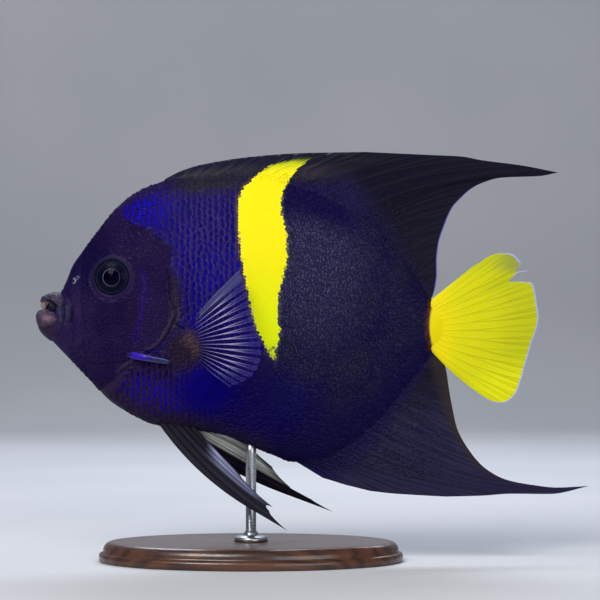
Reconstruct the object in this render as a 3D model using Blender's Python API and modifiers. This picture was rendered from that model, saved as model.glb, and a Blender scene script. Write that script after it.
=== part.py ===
"""Arabian angelfish: a still, life-size model that swims on a plain display stand.

The head points to -X, the left side faces -Y and the back is up. The origin is the
middle of the stand's underside. Side views are (x, z) points in millimetres, x from
the rod's axis and z from the floor; every mesh is made in metres.
"""
import math

import bmesh
import bpy
import numpy as np
from mathutils import Vector

MM = 0.001
GAP = 0.3                     # clearance between pieces that touch
BODY_END = 91.0               # x of the tail stock's end, where the tail fin begins

# Outline of the flesh without the fins: back, belly, level of greatest girth, half breadth
BACK = [(-101, 116.5), (-99.5, 124), (-97, 131), (-94, 136.8), (-92, 141), (-89.5, 147.5),
        (-84, 155.5), (-76.5, 165.5), (-68.5, 175.5), (-60, 183), (-50, 188.2), (-41.5, 190.6),
        (-25, 193.5), (0, 195.5), (25, 191.5), (42.5, 184.5), (57.5, 174.5), (70, 162),
        (80, 148), (86, 138.5), (BODY_END, 130.5)]
BELLY = [(-101, 116.5), (-100, 111), (-97, 107.3), (-90, 100), (-80, 89.5), (-69.5, 79),
         (-58.5, 72.3), (-50, 68.3), (-37.5, 65.8), (-25, 64.6), (-12.5, 62.3), (0, 57),
         (12.5, 52), (20, 49.3), (33, 49), (47.5, 55.5), (60, 65.5), (70, 76.5), (80, 89),
         (87, 98.5), (BODY_END, 104.5)]
GIRTH = [(-101, 116.5), (-93, 121.5), (-69, 128), (-45, 120), (-15, 118), (25, 120.5),
         (65, 119.5), (BODY_END, 117.5)]
BREADTH = [(-101, 0), (-100, 2.8), (-97, 5.2), (-94, 6.6), (-90, 7.9), (-85, 9.5), (-77.5, 11.7),
           (-69, 13.7), (-60, 15.6), (-50, 17.3), (-35, 18.8), (-20, 19.2), (-5, 18.9),
           (10, 17.8), (25, 16), (40, 13.6), (55, 10.8), (67.5, 8.4), (77.5, 6.5), (85, 5.2),
           (BODY_END, 4.3)]
BACK_SHARPNESS = 1.35         # power of the cosine: 1 is an ellipse, more is a keel
BELLY_SHARPNESS = 1.1
SECTION_STEPS = 12            # steps from belly to back on each side
JAW_STEPS = 8

UPPER_JAW = {"back": [(-105.7, 130), (-104.5, 131.8), (-102.5, 133), (-99.5, 134.3), (-96, 134.6),
                      (-93.5, 133.5), (-91.5, 131)],
             "belly": [(-105.7, 130), (-104.5, 129.3), (-102, 128.9), (-99.5, 128.2), (-96.5, 126.4),
                       (-94, 125), (-91.5, 125.5)],
             "girth": [(-105.7, 130), (-99, 130.6), (-91.5, 128.5)],
             "breadth": [(-105.7, 0), (-104.8, 2.6), (-103, 4.3), (-100, 5.6), (-96.5, 6.5),
                         (-93.5, 6.6), (-91.5, 5)]}
LOWER_JAW = {"back": [(-107.7, 122.4), (-106.9, 124.6), (-104, 125.7), (-100, 125.7), (-96, 124.7),
                      (-92, 123.6), (-88.5, 121.6)],
             "belly": [(-107.7, 122.4), (-107.2, 119.4), (-105.6, 115.2), (-102.8, 112), (-99.8, 110),
                       (-97, 109.8), (-94, 112), (-91, 116), (-88.5, 121.4)],
             "girth": [(-107.7, 122.4), (-100, 119.5), (-88.5, 121.5)],
             "breadth": [(-107.7, 0), (-106.8, 2.6), (-104.5, 4.4), (-102, 5.7), (-99, 6.6),
                         (-95, 7.3), (-91, 7), (-88.5, 4)]}
TOOTH_COUNT = 11
TOOTH_ARCH = (5.6, 3.4)       # reach forward and half breadth of the tooth row
TOOTH_CENTRE = (-97.9, 129.2)
TOOTH_LENGTH = 3.3

EYE_CENTRE = (-69, 142)       # side view
EYE_RADIUS = 11.0             # of the whole eyeball, most of it inside the head
EYE_DEPTH = 6.5
EYE_STAND_OUT = 2.1
RIM_RADIUS = 9.2
RIM_THICKNESS = 1.1
NOSTRILS = [(-87.3, 140.2, 0.9), (-85, 142.6, 0.6)]

# Where the body is parted: behind the head along the gill opening, and before the tail stock
GILL_LINE = [(-52, 200), (-47, 172), (-42.5, 149), (-39.8, 131), (-34.4, 121.4), (-40.5, 112),
             (-49, 104.8), (-61, 97.8), (-72, 90), (-84, 79)]
TAIL_LINE = [(76, 170), (79.5, 117), (76, 70)]
GILL_COVER_FRONT = [(-47.5, 153), (-50.6, 146), (-52.2, 136), (-53.7, 123), (-56.5, 111),
                    (-59.5, 104.2)]
GILL_COVER_REAR = [(-45.6, 153), (-43.2, 144), (-41, 133), (-36, 121.5), (-42, 112.2),
                   (-53, 104.2)]
GILL_COVER_RISE = 0.9
GILL_COVER_DEPTH = 3.0
CHEEK_SPINE = [(-61.5, 105.4), (-56.5, 103.7), (-50, 101.7), (-41.2, 99.6)]
CHEEK_SPINE_RADIUS = 2.1

# Fins: each stretch is (first ray, last ray, points that their roots, bends or tips pass).
# A ray is a curve from its root to its tip that leans towards its bend, if it has one.
DORSAL_SPINES = 12
DORSAL_RAYS = 31
DORSAL_ROOTS = [(0, 12, [(-43, 187.5), (-25, 189.5), (0, 190), (22, 187), (39, 181)]),
                (12, 30, [(39, 181), (54, 171.5), (66, 159.5), (77, 145), (84, 134.5), (88.5, 128)])]
DORSAL_BENDS = [(12, 16, [(48, 193), (74, 198), (100, 204)]),
                (16, 20, [(100, 204), (96, 198.5), (92.5, 192.3)]),
                (20, 24, [(92.5, 192.3), (89.5, 186), (88, 177.5)]),
                (24, 30, [(88, 177.5), (87, 166), (87, 153), (89, 131)])]
DORSAL_TIPS = [(0, 12, [(-37, 194.2), (-30, 196.8), (-20, 199), (0, 202), (25, 204), (57.5, 204.5)]),
               (12, 16, [(57.5, 204.5), (90, 203), (105, 202.3), (115, 200.5), (135, 198),
                         (154, 194.5)]),
               (16, 30, [(154, 194.5), (145, 192.7), (125, 191.7), (115, 188.8), (110, 186),
                         (105, 181.5), (101, 177), (96.5, 167), (94, 159), (93.5, 148), (92.7, 140),
                         (90, 133.8)])]
DORSAL_PARTINGS = (11.5, 19.5)  # where it is parted: between spines and rays, and behind its tip
ANAL_SPINES = 3
ANAL_RAYS = 21
ANAL_PARTINGS = (12.5,)
ANAL_ROOTS = [(0, 20, [(18, 52.5), (30, 53), (42, 57.5), (54.5, 66), (66.5, 78), (78, 92.5),
                       (83.5, 100.5), (85.5, 103.5)])]
ANAL_BENDS = [(0, 5, [(27, 47), (46, 44.5), (66, 42)]), (5, 8, [(66, 42), (87, 36.8), (97, 33.3)]),
              (8, 9, [(97, 33.3), (110, 29.5)]), (9, 10, [(110, 29.5), (105, 33)]),
              (10, 14, [(105, 33), (101, 38), (98.5, 42.7), (97, 48), (96, 54)]),
              (14, 20, [(96, 54), (94, 62), (92.5, 71), (91, 79.5), (90.5, 87), (90, 94.5),
                        (87.5, 102.5)])]
ANAL_TIPS = [(0, 5, [(36, 41.5), (47.5, 38), (63, 34.5), (82.5, 33), (97.5, 32.2)]),
             (5, 9, [(97.5, 32.2), (115, 32.6), (130, 33.5), (150, 33.2), (170, 37)]),
             (9, 20, [(170, 37), (154, 36.4), (140, 38), (128, 40.5), (117, 46.5), (108, 57),
                      (104.5, 66.5), (101.5, 76), (99, 86.5), (96.5, 94.5), (93, 99.5), (89.5, 101.5)])]
TAIL_RAYS = 17
TAIL_ROOTS = [(0, 16, [(89, 128.5), (88, 118), (89, 106.5)])]
TAIL_TIPS = [(0, 4, [(121.5, 153.3), (127.5, 154.3), (132, 152.5), (135.5, 148.5)]),
             (4, 5, [(135.5, 148.5), (130, 141)]),
             (5, 6, [(130, 141), (140.5, 139.5)]),
             (6, 12, [(140.5, 139.5), (143, 130.5), (144.5, 122.5), (144, 116.5), (142, 110)]),
             (12, 16, [(142, 110), (137, 94), (135, 86.5), (132, 82.5), (126, 78.5)])]
LOOSE_RAY = [(127, 138.5), (130, 141.5), (133.5, 144.3), (138.5, 145)]
LOOSE_RAY_RADIUS = 0.45
PECTORAL_RAYS = 17
PECTORAL_ROOTS = [(0, 16, [(-31, 117.5), (-27, 107), (-26.5, 97)])]
PECTORAL_TIPS = [(0, 16, [(-5, 145.5), (-1.5, 135.5), (3.5, 117.5), (6, 105.5), (4, 97.5), (-1.5, 91.5),
                          (-10, 87.5)])]
PECTORAL_SPLAY = 24           # degrees off the flank
PELVIC_RAYS = 6
PELVIC_ROOTS = [(0, 5, [(-47, 70.5), (-29, 68.5)])]
LEFT_PELVIC_TIPS = [(0, 1, [(3, 26.5), (18.4, 17.8)]), (1, 2, [(18.4, 17.8), (9.5, 27)]),
                    (2, 3, [(9.5, 27), (11, 29.5)]), (3, 5, [(11, 29.5), (3, 37), (-1.5, 42)])]
RIGHT_PELVIC_TIPS = [(0, 1, [(20, 30.8), (41.8, 22.3)]), (1, 2, [(41.8, 22.3), (30.5, 29)]),
                     (2, 5, [(30.5, 29), (20.5, 34.8), (13, 43.5), (1, 55.5)])]
PELVIC_SPLAY = {"left": 17, "right": 12}
SWAY_START = 90.0             # behind this x the fins drift sideways
SWAY = 0.0011                 # mm of drift for each squared mm behind it

# Half the thickness of a ray at its root and at its tip
MEDIAN_HALVES = (1.3, 0.45)
TAIL_HALVES = (3.4, 0.4)
PECTORAL_HALVES = (1.7, 0.33)
PELVIC_HALVES = (1.5, 0.34)
THINNEST_HALF = 0.26
SPINE_NOTCH = 1.5             # how far the web's edge lies short of the spines' tips
RAY_NOTCH = 0.35

BASE_SIZE = (152, 96, 10)
BASE_EDGE = 2.5
ROD_RADIUS = 2.6
FLANGE_RADIUS = 8.5
FLANGE_HEIGHT = 2.6
ROD_TOP = 66.0                # inside the belly, before it is cut to fit


def smooth(points):
    """A function through (x, value) points: a cubic that doesn't overshoot them."""
    xs, ys = np.array(points, float).T
    steps = np.diff(xs)
    slopes = np.diff(ys) / steps
    tangents = np.concatenate([slopes[:1], np.zeros(len(xs) - 2), slopes[-1:]])
    for i in range(1, len(xs) - 1):
        before, after = slopes[i - 1], slopes[i]
        if before * after > 0:
            near, far = 2 * steps[i] + steps[i - 1], steps[i] + 2 * steps[i - 1]
            tangents[i] = (near + far) / (near / before + far / after)

    def value(x):
        x = np.clip(np.asarray(x, float), xs[0], xs[-1])
        i = np.clip(np.searchsorted(xs, x) - 1, 0, len(xs) - 2)
        t = (x - xs[i]) / steps[i]
        rise = ys[i] * (1 + 2 * t) * (1 - t) ** 2 + ys[i + 1] * t * t * (3 - 2 * t)
        return rise + steps[i] * t * (1 - t) * (tangents[i] * (1 - t) - tangents[i + 1] * t)

    return value


def path(points):
    """A function of 0 to 1 along smooth (x, z) points, evenly by length."""
    points = np.array(points, float)
    lengths = np.concatenate([[0], np.cumsum(np.linalg.norm(np.diff(points, axis=0), axis=1))])
    if len(points) == 2:
        return lambda t: points[0] + (points[1] - points[0]) * t
    share = lengths / lengths[-1]
    along, up = (smooth(list(zip(share, points[:, axis]))) for axis in (0, 1))
    return lambda t: np.array([float(along(t)), float(up(t))])


def by_ray(stretches):
    """A function of the ray's number from stretches of (first, last, points)."""
    paths = [(first, last, path(points)) for first, last, points in stretches]

    def place(ray):
        for first, last, way in paths:
            if ray <= last:
                return way(max(0.0, (ray - first) / (last - first)))
        return way(1.0)

    return place


def new_object(name, points, faces, edges=()):
    """A mesh object from points in millimetres."""
    mesh = bpy.data.meshes.new(name)
    mesh.from_pydata([Vector(p) * MM for p in points], edges, faces)
    mesh.update()
    thing = bpy.data.objects.new(name, mesh)
    bpy.context.scene.collection.objects.link(thing)
    return thing


def face_out(thing):
    """Turns the faces of a closed mesh outwards."""
    shape = bmesh.new()
    shape.from_mesh(thing.data)
    bmesh.ops.recalc_face_normals(shape, faces=shape.faces)
    if shape.calc_volume(signed=True) < 0:
        bmesh.ops.reverse_faces(shape, faces=shape.faces)
    shape.to_mesh(thing.data)
    shape.free()


def combine(thing, others, operation):
    """Cuts or joins closed mesh objects with one Boolean, applied, and removes them."""
    group = bpy.data.collections.new("operands")
    for other in others:
        group.objects.link(other)
    boolean = thing.modifiers.new("combine", "BOOLEAN")
    boolean.operand_type = "COLLECTION"
    boolean.collection = group
    boolean.operation = operation
    boolean.solver = "EXACT"
    bpy.context.view_layer.update()
    graph = bpy.context.evaluated_depsgraph_get()
    made = bpy.data.meshes.new_from_object(thing.evaluated_get(graph))
    thing.modifiers.clear()
    thing.data = made
    for other in others:
        bpy.data.objects.remove(other)
    bpy.data.collections.remove(group)


def islands(shape):
    """The faces of each separate surface of a bmesh."""
    left, found = set(shape.faces), []
    while left:
        reached = {left.pop()}
        edge = list(reached)
        while edge:
            near = {f for e in edge.pop().edges for f in e.link_faces} & left
            left -= near
            reached |= near
            edge += near
        found.append(reached)
    return found


def volume_of(faces):
    """Six times the volume that a closed surface's faces hold."""
    total = 0.0
    for face in faces:
        corners = [v.co for v in face.verts]
        for second, third in zip(corners[1:], corners[2:]):
            total += corners[0].dot(second.cross(third))
    return total


def keep_largest(thing):
    """Drops every closed surface but the largest."""
    shape = bmesh.new()
    shape.from_mesh(thing.data)
    found = sorted(islands(shape), key=volume_of)
    loose = [face for faces in found[:-1] for face in faces]
    bmesh.ops.delete(shape, geom=loose, context="FACES")
    shape.to_mesh(thing.data)
    shape.free()


def split_islands(thing, names):
    """One object for each separate surface, named from head to tail."""
    shape = bmesh.new()
    shape.from_mesh(thing.data)
    found = sorted(islands(shape), key=volume_of)[-len(names):]
    found.sort(key=lambda faces: min(f.calc_center_median().x for f in faces))
    made = []
    for name, faces in zip(names, found):
        corners = sorted({v for f in faces for v in f.verts}, key=lambda v: v.index)
        number = {v: i for i, v in enumerate(corners)}
        made.append(new_object(name, [v.co / MM for v in corners],
                               [[number[v] for v in f.verts] for f in faces]))
    shape.free()
    bpy.data.objects.remove(thing)
    return made


class Body:
    """A form of rounded keeled sections across x, grown by a margin on every side."""

    def __init__(self, back, belly, girth, breadth, grow=0.0, steps=SECTION_STEPS):
        self.first, self.last, self.grow, self.steps = back[0][0], back[-1][0], grow, steps
        self.back, self.belly = smooth(back), smooth(belly)
        self.girth, self.breadth = smooth(girth), smooth(breadth)

    def section(self, x):
        """Level of girth, rise to the back, fall to the belly and half breadth at x."""
        girth = float(self.girth(x))
        return (girth, float(self.back(x)) - girth + self.grow,
                girth - float(self.belly(x)) + self.grow, float(self.breadth(x)) + self.grow)

    def half_breadth(self, x, z):
        """Distance of the surface from the middle plane at a point of the side view."""
        girth, rise, fall, breadth = self.section(x)
        share = (z - girth) / (rise if z > girth else fall)
        power = BACK_SHARPNESS if z > girth else BELLY_SHARPNESS
        return breadth * max(0.0, 1 - share * share) ** (power / 2)

    def normal(self, x, z):
        """Direction out of the left flank at a point of the side view."""
        step = 0.5
        along = (self.half_breadth(x + step, z) - self.half_breadth(x - step, z)) / (2 * step)
        up = (self.half_breadth(x, z + step) - self.half_breadth(x, z - step)) / (2 * step)
        return Vector((-along, -1, -up)).normalized()

    def ring(self, x):
        """Points round the section, from the belly up the left side and down the right."""
        girth, rise, fall, breadth = self.section(x)
        points = []
        for step in range(2 * self.steps):
            angle = math.pi * (step / self.steps - 0.5)
            turn, side = (angle, -1) if step <= self.steps else (math.pi - angle, 1)
            height = math.sin(turn)
            power = BACK_SHARPNESS if height > 0 else BELLY_SHARPNESS
            width = max(0.0, math.cos(turn)) ** power if 0 < step != self.steps else 0.0
            points.append((x, side * breadth * width, girth + height * (rise if height > 0 else fall)))
        return points

    def solid(self, name, stations, pointed_end=False):
        """The closed form: a point in front, rings, and a flat or pointed end."""
        rings = [self.ring(x) for x in stations]
        count = 2 * self.steps
        front = (self.first - self.grow, 0, float(self.girth(self.first)))
        rear_x = self.last + self.grow
        if not pointed_end:
            rings[-1] = [(rear_x, y, z) for _, y, z in rings[-1]]
        rear = (rear_x, 0, float(self.girth(self.last)))
        points = [front] + [p for ring in rings for p in ring] + [rear]
        faces = [(0, 1 + (k + 1) % count, 1 + k) for k in range(count)]
        for i in range(len(rings) - 1):
            here, after = 1 + i * count, 1 + (i + 1) * count
            for k in range(count):
                n = (k + 1) % count
                faces += [(here + k, here + n, after + n), (here + k, after + n, after + k)]
        end, last = len(points) - 1, 1 + (len(rings) - 1) * count
        faces += [(last + k, last + (k + 1) % count, end) for k in range(count)]
        thing = new_object(name, points, faces)
        face_out(thing)
        return thing


def fish_body(grow=0.0):
    return Body(BACK, BELLY, GIRTH, BREADTH, grow)


def body_solid(name, grow=0.0):
    """The whole flesh without jaws and fins. Grown ones are cutters that keep the gap."""
    front = [-100.7, -100, -98.7, -97, -95, -92.5, -90, -87, -83.5, -80]
    rest = list(np.linspace(-76, BODY_END, 31))
    return fish_body(grow).solid(name, front + rest)


def jaw_solid(name, jaw, grow=0.0):
    """A lip and its jaw: a short bulb with a point at both ends."""
    form = Body(jaw["back"], jaw["belly"], jaw["girth"], jaw["breadth"], grow, JAW_STEPS)
    share = (1 - np.cos(np.linspace(0, math.pi, 13)[1:-1])) / 2
    return form.solid(name, form.first + share * (form.last - form.first), pointed_end=True)


def wall(name, places, reach=40):
    """A wall as thick as the gap across the fish, along (x, z) places, to part what it cuts."""
    places = np.array(places)
    ahead = np.gradient(places, axis=0)
    across = np.stack([-ahead[:, 1], ahead[:, 0]], axis=1)
    across *= GAP / 2 / np.linalg.norm(across, axis=1, keepdims=True)
    points = [(x, y, z) for edge in (places + across, places - across)
              for x, z in edge for y in (-reach, reach)]
    return sheet_solid(name, points, len(places), 2)


def wall_along(name, line):
    """A parting wall along smooth points of the side view."""
    way = path(line)
    return wall(name, [way(t) for t in np.linspace(0, 1, 25)])


def eyeball(name, side, grow=0.0):
    """A flattened ball that looks out along the head's surface there."""
    body = fish_body()
    x, z = EYE_CENTRE
    bpy.ops.mesh.primitive_uv_sphere_add(segments=18, ring_count=9, radius=1)
    ball = bpy.context.object
    ball.name = name
    out = eye_direction(side)
    surface = Vector((x, side * body.half_breadth(x, z), z))
    centre = surface + out * (EYE_STAND_OUT - EYE_DEPTH)
    size = Vector((EYE_RADIUS + grow, EYE_RADIUS + grow, EYE_DEPTH + grow))
    place_along(ball, centre, out, size)
    return ball


def eye_direction(side):
    """Outward direction of an eye: mostly sideways, partly along the surface's own normal."""
    left = fish_body().normal(*EYE_CENTRE)
    out = (left + Vector((0, -1, 0)) * 0.6).normalized()
    return Vector((out.x, out.y * -side, out.z))


def place_along(thing, centre, out, size):
    """Scales a unit shape, points its own +Z along out and moves it to centre, in mm."""
    turn = Vector((0, 0, 1)).rotation_difference(out).to_matrix().to_4x4()
    for vertex in thing.data.vertices:
        scaled = Vector((vertex.co.x * size.x, vertex.co.y * size.y, vertex.co.z * size.z))
        vertex.co = (turn @ scaled + centre) * MM


def eye_rim(side):
    """The low ring of skin round the eye."""
    body = fish_body()
    x, z = EYE_CENTRE
    bpy.ops.mesh.primitive_torus_add(major_segments=20, minor_segments=6, major_radius=RIM_RADIUS,
                                     minor_radius=RIM_THICKNESS)
    ring = bpy.context.object
    out = eye_direction(side)
    centre = Vector((x, side * body.half_breadth(x, z), z)) + out * 0.15
    place_along(ring, centre, out, Vector((1, 1, 1)))
    return ring


def nostril(x, z, radius, side):
    """A small round pit in the snout."""
    bpy.ops.mesh.primitive_uv_sphere_add(segments=8, ring_count=5, radius=1)
    pit = bpy.context.object
    surface = Vector((x, side * fish_body().half_breadth(x, z), z))
    place_along(pit, surface, Vector((0, side, 0)), Vector((radius, radius, radius * 1.4)))
    return pit


def gill_plate(name, side, grow, inner, outer):
    """A curved plate over the gill cover's outline, between two offsets from the flank."""
    body = fish_body()
    front, rear = path(GILL_COVER_FRONT), path(GILL_COVER_REAR)
    rows, columns = 11, 6
    points = []
    for offset in (outer, inner):
        for r in range(rows):
            low, high = front(r / (rows - 1)), rear(r / (rows - 1))
            ease = grow if r in (0, rows - 1) else 0.0
            lift = ease if r == 0 else -ease
            for c in range(columns):
                x, z = low + (high - low) * c / (columns - 1)
                x += -grow if c == 0 else grow if c == columns - 1 else 0.0
                edge = min(c, columns - 1 - c, r, rows - 1 - r)
                rise = offset - (GILL_COVER_RISE if edge == 0 and offset == GILL_COVER_RISE else 0)
                z += lift
                points.append((x, side * (body.half_breadth(x, z) + rise), z))
    return sheet_solid(name, points, rows, columns)


def sheet_solid(name, points, rows, columns):
    """Closes two equal grids of points, one over the other.

    Each quad is split along its shorter diagonal in the first grid, alike on both faces.
    """
    size = rows * columns
    faces = []
    for r in range(rows - 1):
        for c in range(columns - 1):
            a, b = r * columns + c, r * columns + c + 1
            d, e = a + columns, b + columns
            halves = ((a, b, e), (a, e, d))
            if math.dist(points[b], points[d]) < math.dist(points[a], points[e]):
                halves = ((a, b, d), (b, e, d))
            for corners in halves:
                faces.append(corners)
                faces.append(tuple(k + size for k in reversed(corners)))
    rim = [c for c in range(columns)]
    rim += [r * columns + columns - 1 for r in range(1, rows)]
    rim += [(rows - 1) * columns + c for c in range(columns - 2, -1, -1)]
    rim += [r * columns for r in range(rows - 2, 0, -1)]
    for k, here in enumerate(rim):
        after = rim[(k + 1) % len(rim)]
        faces += [(after, here, here + size), (after, here + size, after + size)]
    thing = new_object(name, points, faces)
    face_out(thing)
    return thing


def tapered_tube(name, centres, radii, sides=8):
    """A closed round form along points in space, with the radius given at each."""
    centres = [Vector(c) for c in centres]
    points, faces = [], []
    for i, centre in enumerate(centres):
        ahead = (centres[min(i + 1, len(centres) - 1)] - centres[max(i - 1, 0)]).normalized()
        across = ahead.cross(Vector((0, 1, 0))).normalized()
        other = ahead.cross(across)
        for k in range(sides):
            angle = 2 * math.pi * k / sides
            points.append(centre + (across * math.cos(angle) + other * math.sin(angle)) * radii[i])
    for i in range(len(centres) - 1):
        for k in range(sides):
            a, b = i * sides + k, i * sides + (k + 1) % sides
            faces.append((a, b, b + sides, a + sides))
    faces += [tuple(range(sides)), tuple(range(len(points) - sides, len(points)))]
    thing = new_object(name, points, faces)
    face_out(thing)
    return thing


def cheek_spine(name, side):
    """The long spine at the lower corner of the cheek, lying back over the gill cover."""
    body = fish_body()
    way = path(CHEEK_SPINE)
    centres, radii = [], []
    for t in np.linspace(0, 1, 8):
        x, z = way(t)
        stand_off = 0.2 + 2.3 * min(1.0, t * 2.5)
        centres.append((x, side * (body.half_breadth(x, z) + stand_off), z))
        swell = 0.7 + 0.3 * math.sin(math.pi * min(1.0, t * 1.6))
        radii.append(CHEEK_SPINE_RADIUS * (1 - 0.75 * t ** 3) * swell)
    spine = tapered_tube(name, centres, radii)
    combine(spine, [body_solid("cutter", GILL_COVER_RISE + GAP)], "DIFFERENCE")
    keep_largest(spine)
    return spine


def tooth_row(name):
    """The fine upper teeth, a ridged band along the front of the mouth."""
    columns, rows = 2 * TOOTH_COUNT + 1, 3
    points = []
    for side in (1, -1):
        for r in range(rows):
            for c in range(columns):
                turn = math.radians(80) * (2 * c / (columns - 1) - 1)
                thick = (0.62 if c % 2 else 0.3) * (1 - 0.35 * r / (rows - 1))
                reach = TOOTH_ARCH[0] + side * thick
                spread = TOOTH_ARCH[1] + side * thick
                drop = TOOTH_LENGTH * r / (rows - 1) * (1 if c % 2 else 0.86)
                points.append((TOOTH_CENTRE[0] - reach * math.cos(turn), spread * math.sin(turn),
                               TOOTH_CENTRE[1] + 1.2 - drop))
    return sheet_solid(name, points, rows, columns)


class Fin:
    """Rays from roots to tips, with a thinner membrane between them."""

    def __init__(self, roots, tips, rays, halves, bends=None, bow=0.0, notch=RAY_NOTCH,
                 web_share=0.55, centre=None):
        self.root, self.tip, self.rays = by_ray(roots), by_ray(tips), rays
        self.first_bend = bends[0][0] if bends else rays
        self.bend = by_ray(bends) if bends else None
        self.bow = bow if callable(bow) else lambda ray: bow
        self.notch = notch if callable(notch) else lambda ray: notch
        self.halves, self.web_share = halves, web_share
        self.centre = centre or drift

    def curve(self, ray, along):
        """Side-view point at a share of the way along one ray, bent like a rod."""
        root, tip = self.root(ray), self.tip(ray)
        chord = tip - root
        middle = (root + tip) / 2 + np.array([-chord[1], chord[0]]) * self.bow(ray)
        if ray >= self.first_bend:
            middle = self.bend(ray)
        return root * (1 - along) ** 2 + middle * 2 * along * (1 - along) + tip * along ** 2

    def place(self, ray, along):
        """Side-view point on a ray, or on the web between two rays, which ends short of them."""
        low, high = math.floor(ray), math.ceil(ray)
        share = ray - low
        length = np.linalg.norm(self.tip(low) - self.root(low))
        along *= 1 - self.notch(ray) / length * 4 * share * (1 - share)
        return self.curve(low, along) * (1 - share) + self.curve(high, along) * share

    def half_thickness(self, ray, along):
        """Half the thickness, least in the middle of the web between two rays."""
        web = 4 * (ray - math.floor(ray)) * (math.ceil(ray) - ray)
        fade = along ** 0.6
        thick = self.halves[0] * (1 - fade) + self.halves[1] * fade
        return max(THINNEST_HALF, thick * (1 - (1 - self.web_share) * web * min(1, 3 * along)))

    def solid(self, name, rows):
        """The whole fin as one closed plate with raised rays."""
        columns = np.arange(0, self.rays - 0.5, 0.5)
        points = []
        for face in (-1, 1):
            for along in np.linspace(0, 1, rows):
                for ray in columns:
                    x, z = self.place(ray, along)
                    y = self.centre(x, z, ray, along) + face * self.half_thickness(ray, along)
                    points.append((x, y, z))
        return sheet_solid(name, points, rows, len(columns))

    def parting(self, ray):
        """A wall along the middle of one web, from inside the body to past the edge."""
        return wall("parting", [self.place(ray, along) for along in np.linspace(-0.1, 1.1, 13)], 10)


def drift(x, z=0.0, ray=0.0, along=0.0):
    """Sideways place of a middle fin: its rear edge trails a little to the far side."""
    return SWAY * max(0.0, x - SWAY_START) ** 2


def fit_to_body(fin):
    """Cuts a fin's root to the flesh, with the gap between them."""
    combine(fin, [body_solid("cutter", GAP)], "DIFFERENCE")
    keep_largest(fin)
    return fin


def dorsal_fins():
    """The fin along the back: its spiny front, its soft part with the long tip, and its rear."""
    fin = Fin(DORSAL_ROOTS, DORSAL_TIPS, DORSAL_RAYS, MEDIAN_HALVES, DORSAL_BENDS,
              notch=lambda ray: SPINE_NOTCH if ray < DORSAL_SPINES - 1 else RAY_NOTCH)
    whole = fit_to_body(fin.solid("dorsal_fin", 7))
    combine(whole, [fin.parting(ray) for ray in DORSAL_PARTINGS], "DIFFERENCE")
    return split_islands(whole, ["dorsal_fin_spiny", "dorsal_fin_soft", "dorsal_fin_rear"])


def anal_fins():
    """The fin under the tail: three short spines and the long tip in front, then its rear."""
    fin = Fin(ANAL_ROOTS, ANAL_TIPS, ANAL_RAYS, MEDIAN_HALVES, ANAL_BENDS,
              notch=lambda ray: SPINE_NOTCH if ray < ANAL_SPINES else RAY_NOTCH)
    whole = fit_to_body(fin.solid("anal_fin", 9))
    combine(whole, [fin.parting(ray) for ray in ANAL_PARTINGS], "DIFFERENCE")
    return split_islands(whole, ["anal_fin_front", "anal_fin_rear"])


def caudal_fin():
    """The tail fin, torn near its upper corner, where one bent ray stands free."""
    fin = Fin(TAIL_ROOTS, TAIL_TIPS, TAIL_RAYS, TAIL_HALVES, bow=lambda ray: -0.07 * ray / TAIL_RAYS,
              web_share=0.6)
    plate = fin.solid("caudal_fin", 6)
    way = path(LOOSE_RAY)
    places = [way(t) for t in np.linspace(0, 1, 6)]
    centres = [(x, drift(x), z) for x, z in places]
    radii = [LOOSE_RAY_RADIUS * (1 - 0.6 * t) for t in np.linspace(0, 1, 6)]
    combine(plate, [tapered_tube("loose_ray", centres, radii, sides=6)], "UNION")
    return fit_to_body(plate)


def pectoral_fin(name, side):
    """A fan that stands off the flank behind the gill cover."""
    body = fish_body()
    middle = by_ray(PECTORAL_ROOTS)(PECTORAL_RAYS / 2)
    surface = body.half_breadth(*middle)
    slope = math.tan(math.radians(PECTORAL_SPLAY))

    def centre(x, z, ray, along):
        reach = x - middle[0]
        cup = 1.6 * math.sin(math.pi * ray / (PECTORAL_RAYS - 1)) * along
        return side * (surface - 1.0 + slope * reach + cup)

    fin = Fin(PECTORAL_ROOTS, PECTORAL_TIPS, PECTORAL_RAYS, PECTORAL_HALVES, web_share=0.6,
              bow=lambda ray: 0.03 - 0.06 * ray / PECTORAL_RAYS, centre=centre)
    return fit_to_body(fin.solid(name, 5))


def pelvic_fin(name, side, tips, splay, bow):
    """A pointed fin under the breast: one spine and five rays, the first a long thread."""
    root = by_ray(PELVIC_ROOTS)
    slope = math.tan(math.radians(splay))

    def centre(x, z, ray, along):
        start = root(ray)
        return side * (3.0 + slope * math.hypot(x - start[0], z - start[1]))

    fin = Fin(PELVIC_ROOTS, tips, PELVIC_RAYS, PELVIC_HALVES, web_share=0.6, bow=bow, centre=centre,
              notch=lambda ray: RAY_NOTCH if ray < 1 else 3.0)
    return fit_to_body(fin.solid(name, 8))


def head_and_trunk():
    """The flesh parted into head, trunk and tail stock, with the head's openings cut."""
    whole = body_solid("flesh")
    combine(whole, [wall_along("gill_wall", GILL_LINE), wall_along("tail_wall", TAIL_LINE)],
            "DIFFERENCE")
    head, trunk, stock = split_islands(whole, ["head", "trunk", "tail_stock"])
    combine(head, [eye_rim(-1), eye_rim(1)], "UNION")
    cutters = [jaw_solid("upper_cutter", UPPER_JAW, GAP), jaw_solid("lower_cutter", LOWER_JAW, GAP)]
    for side in (-1, 1):
        cutters.append(eyeball("socket", side, GAP))
        cutters.append(gill_plate("pocket", side, GAP, -GILL_COVER_DEPTH - GAP, 6))
        cutters += [nostril(*pit, side) for pit in NOSTRILS]
    combine(head, cutters, "DIFFERENCE")
    keep_largest(head)
    return [head, trunk, stock]


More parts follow.
